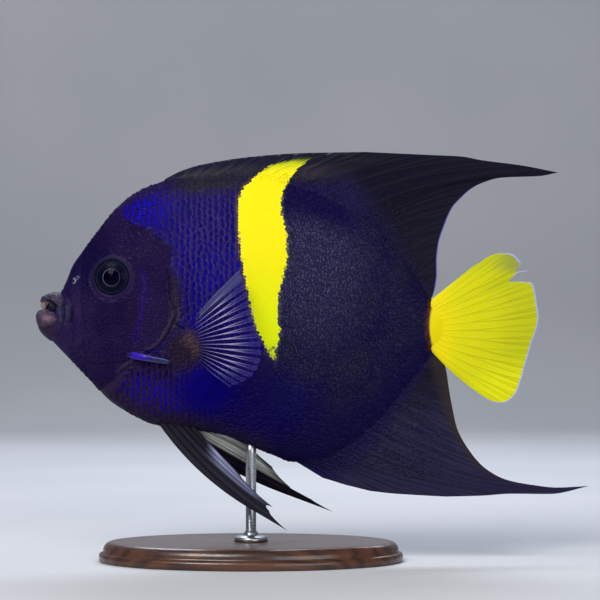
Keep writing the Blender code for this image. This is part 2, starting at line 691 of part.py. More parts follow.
def jaws():
    """Upper jaw with its teeth, and lower jaw."""
    upper, lower = jaw_solid("upper_jaw", UPPER_JAW), jaw_solid("lower_jaw", LOWER_JAW)
    combine(upper, [tooth_row("teeth")], "UNION")
    combine(upper, [jaw_solid("lower_cutter", LOWER_JAW, GAP)], "DIFFERENCE")
    keep_largest(upper)
    return [upper, lower]


def stand():
    """A flat oval base and a round rod with a foot, cut to the belly's keel."""
    bpy.ops.mesh.primitive_cylinder_add(vertices=44, radius=0.5, depth=1)
    base = bpy.context.object
    base.name = "stand_base"
    for vertex in base.data.vertices:
        vertex.co = Vector((vertex.co.x * BASE_SIZE[0], vertex.co.y * BASE_SIZE[1],
                            (vertex.co.z + 0.5) * BASE_SIZE[2])) * MM
    bevel = base.modifiers.new("edge", "BEVEL")
    bevel.width = BASE_EDGE * MM
    bevel.segments = 2
    bevel.limit_method = "ANGLE"
    foot = BASE_SIZE[2] + GAP
    profile = [(0, ROD_TOP), (ROD_RADIUS, ROD_TOP), (ROD_RADIUS, foot + FLANGE_HEIGHT + 2),
               (ROD_RADIUS + 1, foot + FLANGE_HEIGHT), (FLANGE_RADIUS - 0.7, foot + FLANGE_HEIGHT),
               (FLANGE_RADIUS, foot + FLANGE_HEIGHT - 0.7), (FLANGE_RADIUS, foot), (0, foot)]
    rod = turned("stand_rod", profile, 28)
    fit_to_body(rod)
    return [base, rod]


def turned(name, profile, steps):
    """A profile of (radius, height) turned about the z axis."""
    edges = [(k, k + 1) for k in range(len(profile) - 1)]
    thing = new_object(name, [(radius, 0, z) for radius, z in profile], [], edges)
    screw = thing.modifiers.new("turn", "SCREW")
    screw.steps = screw.render_steps = steps
    screw.use_merge_vertices = True
    screw.merge_threshold = 0.05 * MM
    bpy.context.view_layer.update()
    graph = bpy.context.evaluated_depsgraph_get()
    made = bpy.data.meshes.new_from_object(thing.evaluated_get(graph))
    thing.modifiers.clear()
    thing.data = made
    face_out(thing)
    return thing


def finish(name, colour, roughness, metallic=0.0):
    """A plain finish for one or more nodes."""
    material = bpy.data.materials.new(name)
    material.use_nodes = True
    shader = material.node_tree.nodes["Principled BSDF"]
    shader.inputs["Base Color"].default_value = (*colour, 1)
    shader.inputs["Roughness"].default_value = roughness
    shader.inputs["Metallic"].default_value = metallic
    return material


def main():
    for thing in list(bpy.data.objects):
        bpy.data.objects.remove(thing)
    group = bpy.data.collections.new("arabian_angelfish")
    bpy.context.scene.collection.children.link(group)

    flesh = finish("indigo_skin", (0.022, 0.014, 0.075), 0.45)
    lips = finish("pale_lips", (0.24, 0.2, 0.26), 0.4)
    web = finish("dark_fin", (0.018, 0.014, 0.04), 0.45)
    clear = finish("clear_fin", (0.2, 0.2, 0.42), 0.3)
    yellow = finish("yellow_fin", (0.85, 0.74, 0.02), 0.45)
    bone = finish("pale_blue_spine", (0.3, 0.32, 0.6), 0.35)
    eye = finish("dark_eye", (0.01, 0.012, 0.02), 0.06)
    wood = finish("dark_wood", (0.05, 0.03, 0.02), 0.35)
    steel = finish("steel", (0.55, 0.55, 0.56), 0.3, 1.0)

    head, trunk, stock = head_and_trunk()
    made = [(flesh, [head, trunk, stock]), (lips, jaws()), (web, dorsal_fins() + anal_fins()),
            (yellow, [caudal_fin()])]
    left, right = -1, 1
    for word, side in (("left", left), ("right", right)):
        cover = gill_plate("gill_cover_" + word, side, 0.0, -GILL_COVER_DEPTH, GILL_COVER_RISE)
        made += [(flesh, [cover]), (eye, [eyeball("eye_" + word, side)]),
                 (bone, [cheek_spine("cheek_spine_" + word, side)]),
                 (clear, [pectoral_fin("pectoral_fin_" + word, side)])]
    made.append((web, [
        pelvic_fin("pelvic_fin_left", left, LEFT_PELVIC_TIPS, PELVIC_SPLAY["left"],
                   lambda ray: -0.12 + 0.02 * ray),
        pelvic_fin("pelvic_fin_right", right, RIGHT_PELVIC_TIPS, PELVIC_SPLAY["right"],
                   lambda ray: -0.09 + 0.036 * ray)]))
    base, rod = stand()
    made += [(wood, [base]), (steel, [rod])]

    for material, things in made:
        for thing in things:
            thing.data.materials.clear()
            thing.data.materials.append(material)
            for owner in list(thing.users_collection):
                owner.objects.unlink(thing)
            group.objects.link(thing)
            thing.data.shade_smooth()
            thing.data.set_sharp_from_angle(angle=math.radians(35))


main()
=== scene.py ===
"""An arabian angelfish as a museum model: skin, scales, fins, eyes, lips and its stand.

Lengths in the tables are millimetres. The head points to -X, the left side faces -Y and
the back is up, as in the solids. Every piece is made from the same named outline as they are.
"""
import math

import bpy
import numpy as np
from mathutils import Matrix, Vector, noise
from mathutils.bvhtree import BVHTree


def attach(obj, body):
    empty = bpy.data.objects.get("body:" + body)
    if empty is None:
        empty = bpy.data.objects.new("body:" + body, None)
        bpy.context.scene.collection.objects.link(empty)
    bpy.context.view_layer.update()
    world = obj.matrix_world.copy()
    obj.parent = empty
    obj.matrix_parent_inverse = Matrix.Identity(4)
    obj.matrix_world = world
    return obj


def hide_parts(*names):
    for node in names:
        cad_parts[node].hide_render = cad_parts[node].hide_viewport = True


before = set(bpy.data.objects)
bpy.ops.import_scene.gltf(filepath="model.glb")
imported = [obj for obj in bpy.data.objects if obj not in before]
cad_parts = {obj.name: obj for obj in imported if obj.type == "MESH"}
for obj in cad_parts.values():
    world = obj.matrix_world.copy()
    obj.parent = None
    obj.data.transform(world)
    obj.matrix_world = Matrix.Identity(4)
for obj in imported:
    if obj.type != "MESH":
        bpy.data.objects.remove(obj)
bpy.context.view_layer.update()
MM = 0.001

# Outline of the flesh: back, belly, level of greatest girth and half breadth along x. Behind
# the tail stock it runs on as a tongue inside the tail fin's root.
BACK = [(-101, 116.5), (-99.5, 124), (-97, 131), (-94, 136.8), (-92, 141), (-89.5, 147.5),
        (-84, 155.5), (-76.5, 165.5), (-68.5, 175.5), (-60, 183), (-50, 188.2), (-41.5, 190.6),
        (-25, 193.5), (0, 195.5), (25, 191.5), (42.5, 184.5), (57.5, 174.5), (70, 162),
        (80, 148), (86, 138.5), (91, 130.5), (96, 129.5), (101, 130)]
BELLY = [(-101, 116.5), (-100, 111), (-97, 107.3), (-90, 100), (-80, 89.5), (-69.5, 79),
         (-58.5, 72.3), (-50, 68.3), (-37.5, 65.8), (-25, 64.6), (-12.5, 62.3), (0, 57),
         (12.5, 52), (20, 49.3), (33, 49), (47.5, 55.5), (60, 65.5), (70, 76.5), (80, 89),
         (87, 98.5), (91, 104.5), (96, 105.5), (101, 105)]
GIRTH = [(-101, 116.5), (-93, 121.5), (-69, 128), (-45, 120), (-15, 118), (25, 120.5),
         (65, 119.5), (91, 117.5), (101, 117.5)]
BREADTH = [(-101, 0), (-100, 2.8), (-97, 5.2), (-94, 6.6), (-90, 7.9), (-85, 9.5), (-77.5, 11.7),
           (-69, 13.7), (-60, 15.6), (-50, 17.3), (-35, 18.8), (-20, 19.2), (-5, 18.9),
           (10, 17.8), (25, 16), (40, 13.6), (55, 10.8), (67.5, 8.4), (77.5, 6.5), (85, 5.2),
           (91, 4.2), (96, 2.4), (101, 0.4)]
BACK_POWER = 1.35
BELLY_POWER = 1.1
SKIN_DEPTH = 0.35             # how far the skin lies inside the solids, under the scales
AROUND = 400                  # points round one section of the skin

UPPER_JAW = {"back": [(-105.7, 130), (-104.5, 131.8), (-102.5, 133), (-99.5, 134.3), (-96, 134.6),
                      (-93.5, 133.5), (-91.5, 131)],
             "belly": [(-105.7, 130), (-104.5, 129.3), (-102, 128.9), (-99.5, 128.2), (-96.5, 126.4),
                       (-94, 125), (-91.5, 125.5)],
             "girth": [(-105.7, 130), (-99, 130.6), (-91.5, 128.5)],
             "breadth": [(-105.7, 0), (-104.8, 2.6), (-103, 4.3), (-100, 5.6), (-96.5, 6.5),
                         (-93.5, 6.6), (-91.5, 5)]}
LOWER_JAW = {"back": [(-107.7, 122.4), (-106.9, 124.6), (-104, 125.7), (-100, 125.7), (-96, 124.7),
                      (-92, 123.6), (-88.5, 121.6)],
             "belly": [(-107.7, 122.4), (-107.2, 119.4), (-105.6, 115.2), (-102.8, 112), (-99.8, 110),
                       (-97, 109.8), (-94, 112), (-91, 116), (-88.5, 121.4)],
             "girth": [(-107.7, 122.4), (-100, 119.5), (-88.5, 121.5)],
             "breadth": [(-107.7, 0), (-106.8, 2.6), (-104.5, 4.4), (-102, 5.7), (-99, 6.6),
                         (-95, 7.3), (-91, 7), (-88.5, 4)]}

UPPER_LIP_RIM = [(-105.4, 129.8), (-103.5, 129.3), (-101.4, 129), (-99, 128.1), (-97.5, 126.7),
                 (-96, 125.6)]
LOWER_LIP = (-102.7, 121.6, 5.6, 4.5)   # its middle along x and z, and its half sizes
MOUTH_CORNER = (-101, 127.2)
MOUTH_LINING = ((-99.0, 127.1), (4.0, 3.6, 3.4))         # its middle and half sizes
EYE_CENTRE = (-68.5, 141.6)
EYE_RADIUS = 11.0
EYE_DEPTH = 6.5
EYE_STAND_OUT = 2.1
EYE_TALL = 1.03               # height of the orbit as a share of its length
PUPIL_RADIUS = 4.25
NOSTRILS = [(-88.2, 140.1, 0.75), (-86.4, 141.5, 0.4)]   # x, z and radius

# Lines of the head and flank in the side view
PREOPERCLE = [(-54, 146), (-52.4, 139), (-53, 130.5), (-54, 123), (-56, 115.5), (-58.3, 106)]
CHEEK_FLOOR = [(-57.5, 101), (-66, 99.3), (-77, 98.5), (-86, 103)]
GILL_EDGE = [(-44.5, 152), (-42, 145.5), (-40.3, 138), (-40, 131), (-37.2, 123.5), (-38.6, 119.5),
             (-45.5, 108.5), (-52.5, 104), (-61, 98), (-72, 89), (-80, 82)]
CORNER_FOLDS = [([(-95.2, 128.4), (-95.4, 125.4), (-94.2, 121.6), (-94.6, 118.8)], 1.5, 1.1),
                ([(-91.6, 128.2), (-90.9, 125), (-90.6, 122), (-91.6, 119.6)], 1.25, 0.9)]
CORNER_CREASES = [[(-93.6, 128.6), (-92.9, 126.2), (-92.5, 123), (-93, 120)],
                  [(-89.4, 127.4), (-88.8, 124.4), (-88.8, 121.4), (-89.9, 118.4)]]
TUBERCLE = (-91.9, 118.3)
SNOUT_FOLD = [(-97.5, 137), (-94, 136.4), (-91, 133.4), (-89.3, 128.5), (-88.6, 123), (-90, 117)]
SHOULDER_CREASE = [(-38, 119), (-34.5, 116.8), (-31.5, 115.8)]
LATERAL_LINE = [(-42, 152), (-30, 164), (-10, 174), (12, 175.5), (32, 168), (48, 156), (62, 141),
                (72, 128), (84, 120)]
NAPE_EDGE = [(-68, 178), (-64, 173), (-58.5, 168.8), (-50, 165.5), (-44.5, 161), (-39, 155.5),
             (-39.3, 147.7), (-35, 138), (-33.5, 131), (-34.5, 122), (-42, 112), (-53, 104),
             (-61, 97.8), (-72, 89), (-82, 80)]
BAND_FRONT = [(31, 206), (17.5, 200.4), (6, 195.2), (-1.8, 188), (-5.6, 181.7), (-6.6, 174), (-6, 166),
              (-5.3, 157.5), (-4, 148.2), (-2, 137.6), (-0.4, 129.5), (1.5, 120.4), (6, 110.5),
              (10.3, 102), (12.5, 97)]
BAND_REAR = [(36, 206), (27.5, 199.6), (21.8, 194.3), (17.7, 187.4), (15.6, 183), (15.1, 175),
             (16.6, 169.6), (17.7, 163), (18, 151), (16.2, 142.5), (14.3, 133.3), (13.5, 121),
             (14.6, 115.5), (13.5, 109.5), (12, 103), (11, 97)]
CHEEK_SPINE = [(-61, 103.6), (-54, 102.5), (-47, 101.1), (-39.8, 99.9)]
CHEEK_SPINE_RADIUS = 1.75

# Low forms of the head and flank: lines with the depth and width of their grooves, and
# places with the reach and height of their swellings
GROOVES = [(CHEEK_FLOOR, 0.4, 0.8), (SNOUT_FOLD, 0.4, 0.55), (SHOULDER_CREASE, 1.0, 0.55),
           (LATERAL_LINE, 0.22, 0.45)]
SWELLINGS = [((-68, 117), 12, 0.8), ((-48, 127), 7, 0.5), ((-30.2, 109), 5.2, 1.5),
             ((-80, 147), 7, -0.35), (MOUTH_CORNER, 2.6, -3.2), ((-93, 122.5), 4.5, 0.8)]
# Lines with the strength and width of the painted shade laid along them
CREASES = [(CHEEK_FLOOR, 0.6, 0.9), (SNOUT_FOLD, 0.45, 0.6), (SHOULDER_CREASE, 1.0, 0.7)]

# Fins, as stretches of (first ray, last ray, places of their roots, bends or tips)
DORSAL_SPINES = 12
DORSAL_RAYS = 31
DORSAL_ROOTS = [(0, 12, [(-47, 186), (-27, 189.3), (-5, 190), (18, 188)]),
                (12, 16, [(18, 188), (36, 181), (50, 173.5)]),
                (16, 24, [(50, 173.5), (56, 169.6), (62, 165)]),
                (24, 30, [(62, 165), (69, 156), (76, 146.5), (84, 134.5), (88.5, 128)])]
DORSAL_BENDS = [(12, 16, [(40, 198.5), (70, 198), (98, 196)]),
                (16, 20, [(98, 196), (95, 193.2), (90, 189.5)]),
                (20, 24, [(90, 189.5), (85.5, 181), (82, 172)]),
                (24, 30, [(82, 172), (84.5, 151.8), (89.3, 130.3)])]
DORSAL_TIPS = [(0, 12, [(-42.5, 191.3), (-36.4, 194.5), (-29, 197.2), (-20, 199.2), (0, 202.2), (25, 204),
                        (57.5, 204.5)]),
               (12, 16, [(57.5, 204.5), (90, 203), (105, 202.3), (115, 200.5), (135, 198),
                         (154, 194.5)]),
               (16, 30, [(154, 194.5), (145, 192.7), (125, 191.7), (115, 188.8), (110, 186),
                         (105, 181.5), (101, 177), (96.5, 167), (94, 159), (93.1, 150),
                         (93.2, 143.7), (92.6, 138.6), (91.8, 134.9), (90.6, 132.2)])]
ANAL_SPINES = 3
ANAL_RAYS = 21
ANAL_ROOTS = [(0, 14, [(18, 52.5), (30, 53), (42, 57.5), (54.5, 66), (59.5, 71.5)]),
              (14, 20, [(59.5, 71.5), (65, 76.5), (71, 84.5), (77.5, 93), (82.5, 99.5), (85.5, 103.5)])]
ANAL_BENDS = [(0, 5, [(27, 47), (46, 44.5), (66, 42)]), (5, 8, [(66, 42), (87, 36.8), (97, 33.3)]),
              (8, 9, [(97, 33.3), (110, 29.5)]), (9, 10, [(110, 29.5), (105, 33)]),
              (10, 14, [(105, 33), (101, 38), (98.5, 42.7), (97, 48), (96, 54)]),
              (14, 20, [(96, 54), (94, 62), (92.5, 71), (91, 79.5), (90.5, 87), (90, 95.5),
                        (88.5, 104.2)])]
ANAL_TIPS = [(0, 5, [(36, 41.5), (47.5, 38), (63, 34.5), (82.5, 33), (97.5, 32.2)]),
             (5, 9, [(97.5, 32.2), (115, 32.6), (130, 33.5), (150, 33.2), (170, 37)]),
             (9, 20, [(170, 37), (154, 36.4), (140, 38), (128, 40.5), (117, 46.5), (108, 57),
                      (103, 66.5), (100.8, 76), (98.9, 86.5), (97.8, 94), (96.4, 99.6), (91.6, 104.6)])]
TAIL_RAYS = 17
TAIL_ROOTS = [(0, 16, [(90.3, 130.8), (88.4, 124), (87.8, 117.8), (88.4, 111), (90.5, 104.6)])]
TAIL_TIPS = [(0, 4, [(110.5, 147), (115.5, 150), (120, 152.8), (124.5, 154), (129, 154), (132.5, 152.3),
                     (135.3, 149)]),
             (4, 5, [(135.3, 149), (132, 143.8), (129, 139.6)]),
             (5, 6, [(129, 139.6), (135, 139.7), (140.4, 139.4)]),
             (6, 16, [(140.4, 139.4), (141.6, 137.5), (143.6, 127.1), (144.2, 122), (143.3, 116.3),
                      (141, 109.9), (137.8, 99.1), (133.7, 85.7), (131.5, 82), (128.3, 79.6),
                      (125.4, 78.9), (121.9, 79.4), (117, 81.7)])]
LOOSE_RAY = [(126, 137.5), (130, 141.5), (133.5, 144.3), (138.5, 145)]
PECTORAL_RAYS = 17
PECTORAL_ROOTS = [(0, 16, [(-30, 119), (-25.4, 110), (-24, 105), (-25, 100)])]
PECTORAL_TIPS = [(0, 16, [(-5, 145.5), (-1.5, 135.5), (3.5, 117.5), (6, 105.5), (4, 97.5), (-1.5, 91.5),
                          (-10, 87.5)])]
PECTORAL_MIDDLE = (-27, 106.2)
PECTORAL_SPLAY = 24
PELVIC_RAYS = 6
PELVIC_ROOTS = [(0, 5, [(-47, 70.5), (-29, 68.5)])]
PELVIC_TIPS = {"left": [(0, 1, [(3, 26.5), (18.4, 17.8)]), (1, 2, [(18.4, 17.8), (9.5, 27)]),
                        (2, 3, [(9.5, 27), (11.3, 28.8)]),
                        (3, 5, [(11.3, 28.8), (1.5, 37), (-5, 44)])],
               "right": [(0, 1, [(20, 30.8), (41.8, 22.3)]), (1, 2, [(41.8, 22.3), (30.5, 29)]),
                         (2, 5, [(30.5, 29), (20.5, 34.8), (13, 43.5), (1, 55.5)])]}
PELVIC_SPLAY = {"left": 17, "right": 12}
PELVIC_BOW = {"left": (-0.12, 0.02), "right": (-0.09, 0.036)}
SWAY_START = 90.0
SWAY = 0.0011
TAIL_LEVEL = 117.6            # middle of the tail stock
TAIL_CURVE = 0.0145           # how much the scales' rear edge bends back above and below it
LAST_FLESH = 91               # x where the tail stock ends
BASE_HALF = (76.0, 48.0)
BASE_TOP = 10.0
ROD_RADIUS = 2.6
ROD_TOP = 59.8
SIDES = {"left": -1, "right": 1}
TEETH = ([-105.2, -104.5, -103.8, -103, -102.2, -101.4, -100.6],    # lengths along x
         [2.1, 3.6, 4.4, 4.4, 3.6, 2.2, 1.0])
FIN_SCALES = {"dorsal": ([0, 11, 14, 16, 20, 24, 30],               # share of each ray that they cover
                         [0.3, 0.3, 0.26, 0.22, 0.28, 0.4, 0.45]),
              "anal": ([0, 3, 9, 14, 20], [0.3, 0.4, 0.4, 0.5, 0.55])}


# Curves and the body's form

def smooth(points):
    """A function through (x, value) points: a cubic that doesn't overshoot them."""
    xs, ys = np.array(points, float).T
    steps = np.diff(xs)
    slopes = np.diff(ys) / steps
    tangents = np.concatenate([slopes[:1], np.zeros(len(xs) - 2), slopes[-1:]])
    for i in range(1, len(xs) - 1):
        before, after = slopes[i - 1], slopes[i]
        if before * after > 0:
            near, far = 2 * steps[i] + steps[i - 1], steps[i] + 2 * steps[i - 1]
            tangents[i] = (near + far) / (near / before + far / after)

    def value(x):
        x = np.clip(np.asarray(x, float), xs[0], xs[-1])
        i = np.clip(np.searchsorted(xs, x) - 1, 0, len(xs) - 2)
        t = (x - xs[i]) / steps[i]
        rise = ys[i] * (1 + 2 * t) * (1 - t) ** 2 + ys[i + 1] * t * t * (3 - 2 * t)
        return rise + steps[i] * t * (1 - t) * (tangents[i] * (1 - t) - tangents[i + 1] * t)

    return value


def path(points):
    """A function of 0 to 1 along smooth (x, z) points, evenly by length."""
    points = np.array(points, float)
    lengths = np.concatenate([[0], np.cumsum(np.linalg.norm(np.diff(points, axis=0), axis=1))])
    share = lengths / lengths[-1]
    if len(points) == 2:
        return lambda t: points[0] + (points[1] - points[0]) * np.asarray(t, float)[..., None]
    along, up = (smooth(list(zip(share, points[:, axis]))) for axis in (0, 1))
    return lambda t: np.stack([along(t), up(t)], axis=-1)


def by_ray(stretches):
    """A function that gives the (x, z) places of rays and of the web between them."""
    ways = [(first, last, path(points)) for first, last, points in stretches]

    def place(ray):
        ray = np.asarray(ray, float)
        found = np.zeros(ray.shape + (2,))
        for first, last, way in reversed(ways):
            inside = (ray >= first) & (ray <= last)
            found[inside] = way((ray[inside] - first) / (last - first))
        return found

    return place


def ease(value, low, high):
    """Rises smoothly from 0 at low to 1 at high."""
    t = np.clip((np.asarray(value, float) - low) / (high - low), 0, 1)
    return t * t * (3 - 2 * t)


def line_at(z, line):
    """Place along x of a line of the side view at a height."""
    return np.interp(z, [pz for _, pz in reversed(line)], [px for px, _ in reversed(line)])


def turns(count, start=0.0):
    """Angles of evenly spaced points round a ring."""
    return np.linspace(start, start + 2 * math.pi, count, endpoint=False)


def unit(vectors):
    """Vectors cut to length 1."""
    return vectors / np.maximum(np.linalg.norm(vectors, axis=-1, keepdims=True), 1e-9)


class Form:
    """Rounded keeled sections across x."""

    def __init__(self, back, belly, girth, breadth, grow=0.0):
        self.first, self.last, self.grow = back[0][0], back[-1][0], grow
        self.back, self.belly = smooth(back), smooth(belly)
        self.girth, self.breadth = smooth(girth), smooth(breadth)

    def section(self, x):
        """Level of girth, rise to the back, fall to the belly and half breadth at x."""
        girth = self.girth(x)
        return (girth, self.back(x) - girth + self.grow, girth - self.belly(x) + self.grow,
                np.maximum(self.breadth(x) + self.grow, 0.02))

    def level(self, x, z):
        """Height as a share: 1 on the back's outline, -1 on the belly's, 0 at the girth."""
        girth, rise, fall, _ = self.section(x)
        return (z - girth) / np.where(z > girth, rise, fall)

    def half_breadth(self, x, z):
        """Distance of the surface from the middle plane at a point of the side view."""
        share = self.level(x, z)
        power = np.where(share > 0, BACK_POWER, BELLY_POWER)
        return self.section(x)[3] * np.maximum(0, 1 - share * share) ** (power / 2)

    def around(self, x, turn):
        """Surface points at x and an angle: -90 degrees the belly, 0 the left side, 90 the back."""
        girth, rise, fall, breadth = self.section(x)
        height, across = np.sin(turn), np.cos(turn)
        power = np.where(height > 0, BACK_POWER, BELLY_POWER)
        width = np.abs(across) ** power * np.sign(across)
        y = -breadth * width
        z = girth + height * np.where(height > 0, rise, fall)
        return np.stack(np.broadcast_arrays(x, y, z), axis=-1)


FLESH = Form(BACK, BELLY, GIRTH, BREADTH)
SKIN = Form(BACK, BELLY, GIRTH, BREADTH, -SKIN_DEPTH)


def fin_level(x, z):
    """Height as a share of the flesh's, also behind the end of the tail stock."""
    return np.clip(FLESH.level(np.minimum(x, LAST_FLESH), z), -2, 2)


def drift(x):
    """Sideways place of the middle fins: their rear edges trail a little to the far side."""
    return SWAY * np.maximum(0.0, x - SWAY_START) ** 2


def beside(x, z, line, samples=90):
    """Distance from a line of the side view, positive on its rear side, and share along it."""
    places = path(line)(np.linspace(0, 1, samples))
    ahead = unit(np.gradient(places, axis=0))
    flat_x, flat_z = np.ravel(x), np.ravel(z)
    best = np.full(flat_x.shape, 1e9)
    share, side = np.zeros_like(best), np.ones_like(best)
    for k, ((px, pz), (ax, az)) in enumerate(zip(places, ahead)):
        gap = np.hypot(flat_x - px, flat_z - pz)
        nearer = gap < best
        best = np.where(nearer, gap, best)
        share = np.where(nearer, k / (samples - 1), share)
        across = ax * (flat_z - pz) - az * (flat_x - px)
        side = np.where(nearer, np.sign(across), side)
    return (best * side).reshape(np.shape(x)), share.reshape(np.shape(x))


def mound(x, z, centre, reach):
    """A soft round swelling of height 1."""
    return np.exp(-((x - centre[0]) ** 2 + (z - centre[1]) ** 2) / reach ** 2)


def ring(distance, at, width):
    """A ridge of height 1 at one distance."""
    return np.exp(-((distance - at) / width) ** 2)


def edge_fade(share):
    """Fades a line's effect out towards both of its ends."""
    return ease(share, 0, 0.12) * ease(1 - share, 0, 0.12)


def along_line(x, z, line, width):
    """A soft ridge of height 1 along a line of the side view, faded at its ends."""
    gap, share = beside(x, z, line)
    return edge_fade(share) * ring(gap, 0, width)


def corner(x, z):
    """Folds behind the mouth: their height, their bluish grey and the painted shade in the creases between
    them.
    """
    lift, grey, dark = np.zeros_like(x), np.zeros_like(x), np.zeros_like(x)
    for line, reach, height in CORNER_FOLDS:
        fold = along_line(x, z, line, reach)
        lift, grey = lift + height * fold, np.maximum(grey, fold)
    # Painted shade in the creases between the folds
    for line in CORNER_CREASES:
        dark = np.maximum(dark, along_line(x, z, line, 0.55))
    bump = mound(x, z, TUBERCLE, 0.9)
    return lift + 0.6 * bump - 0.6 * dark, np.maximum(grey, bump), dark


def relief(x, z):
    """Height of the head's and flank's own forms over the plain body, in the side view."""
    near = np.hypot(x - EYE_CENTRE[0], (z - EYE_CENTRE[1]) / EYE_TALL)
    lift = 0.75 * ring(near, 9.35, 0.8) - 0.3 * ring(near, 10.8, 0.6) + 0.22 * ring(near, 11.9, 0.8)
    lift += 0.7 * mound(x, z, (-68, 149.5), 5.5) * ease(near, 8.6, 9.6)
    lift -= 3.4 * (1 - ease(near, 7.5, 8.5))

    gap, share = beside(x, z, PREOPERCLE)
    lift += edge_fade(share) * (0.3 * ease(gap, -5, -0.3) * (1 - ease(gap, -0.3, 0.5))
                                - 0.25 * ring(gap, 0.45, 0.6))
    gap, share = beside(x, z, GILL_EDGE)
    flap = edge_fade(share) * (1 - 0.5 * ease(share, 0.55, 0.75))
    lift += flap * (0.6 * ease(gap, -7, -0.4) * (gap < 0) + 0.6 * (1 - ease(gap, 0, 0.5)) * (gap >= 0))
    lift -= flap * 0.6 * ring(gap, 0.85, 0.6)
    for line, depth, width in GROOVES:
        lift -= depth * along_line(x, z, line, width)
    for px, pz, radius in NOSTRILS:
        gap = np.hypot(x - px, z - pz)
        lift += 0.42 * ring(gap, radius + 0.35, 0.38) - 1.5 * np.exp(-(gap / radius) ** 2)
    for centre, reach, height in SWELLINGS:
        lift += height * mound(x, z, centre, reach)
    return lift + corner(x, z)[0]


# Meshes

def new_piece(name, points, faces):
    """A smooth mesh object from points in millimetres."""
    mesh = bpy.data.meshes.new(name)
    mesh.from_pydata((np.asarray(points, float).reshape(-1, 3) * MM).tolist(), [], faces)
    mesh.update()
    mesh.shade_smooth()
    piece = bpy.data.objects.new(name, mesh)
    bpy.context.scene.collection.objects.link(piece)
    return piece


def note(piece, name, values, kind="FLOAT"):
    """Keeps one number or vector for each point of a mesh, for its material."""
    layer = piece.data.attributes.new(name, kind, "POINT")
    key = {"FLOAT": "value", "FLOAT_VECTOR": "vector"}[kind]
    layer.data.foreach_set(key, np.ravel(values).astype(np.float32))


def note_rings(piece, ends=(0, 0), **values):
    """Keeps numbers for the points of a closed piece's rings and of its two ends."""
    for name, numbers in values.items():
        note(piece, name, np.append(np.ravel(numbers), ends))


def quads(rows, columns, wrap=False):
    """Faces of a grid of points; with wrap the last column joins the first."""
    r, c = np.meshgrid(np.arange(rows - 1), np.arange(columns if wrap else columns - 1), indexing="ij")
    here = r * columns + c
    beside_it = r * columns + (c + 1) % columns
    faces = np.stack([here, beside_it, beside_it + columns, here + columns], axis=-1)
    return faces.reshape(-1, 4).tolist()


def tube_faces(rows, columns):
    """Faces of rings in a row, closed by a first and a last point that come after them."""
    faces = quads(rows, columns, wrap=True)
    first, last, end = rows * columns, rows * columns + 1, (rows - 1) * columns
    for k in range(columns):
        n = (k + 1) % columns
        faces.append([first, n, k])
        faces.append([last, end + k, end + n])
    return faces


def face_out(piece):
    """Turns a closed piece's faces outwards if its volume comes out negative."""
    mesh = piece.data
    mesh.calc_loop_triangles()
    points = np.array([v.co for v in mesh.vertices])
    corners = np.array([t.vertices for t in mesh.loop_triangles])
    a, b, c = points[corners[:, 0]], points[corners[:, 1]], points[corners[:, 2]]
    if np.einsum("ij,ij->i", a, np.cross(b, c)).sum() < 0:
        mesh.flip_normals()
    return piece


def closed_rings(name, rings, front, rear):
    """A closed piece from rings of points and the points that close its two ends."""
    rows, columns = rings.shape[:2]
    points = np.concatenate([rings.reshape(-1, 3), [front, rear]])
    return face_out(new_piece(name, points, tube_faces(rows, columns)))


def closed_plate(name, near, far):
    """A thin closed piece from two equal grids of points."""
    rows, columns = near.shape[:2]
    size = rows * columns
    faces = quads(rows, columns)
    faces += [[k + size for k in reversed(face)] for face in faces]
    rim = list(range(columns)) + [r * columns + columns - 1 for r in range(1, rows)]
    rim += [(rows - 1) * columns + c for c in range(columns - 2, -1, -1)]
    rim += [r * columns for r in range(rows - 2, 0, -1)]
    for k, here in enumerate(rim):
        after = rim[(k + 1) % len(rim)]
        faces.append([after, here, here + size, after + size])
    return face_out(new_piece(name, np.concatenate([near.reshape(-1, 3), far.reshape(-1, 3)]), faces))


def finish(piece, material, slot, *nodes):
    """Gives a piece its material and body, and hides the solids that it stands for; its slot is not used.
    """
    piece.data.materials.clear()
    piece.data.materials.append(material)
    if nodes:
        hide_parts(*nodes)
    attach(piece, "root")
    return piece


# Shader and geometry nodes

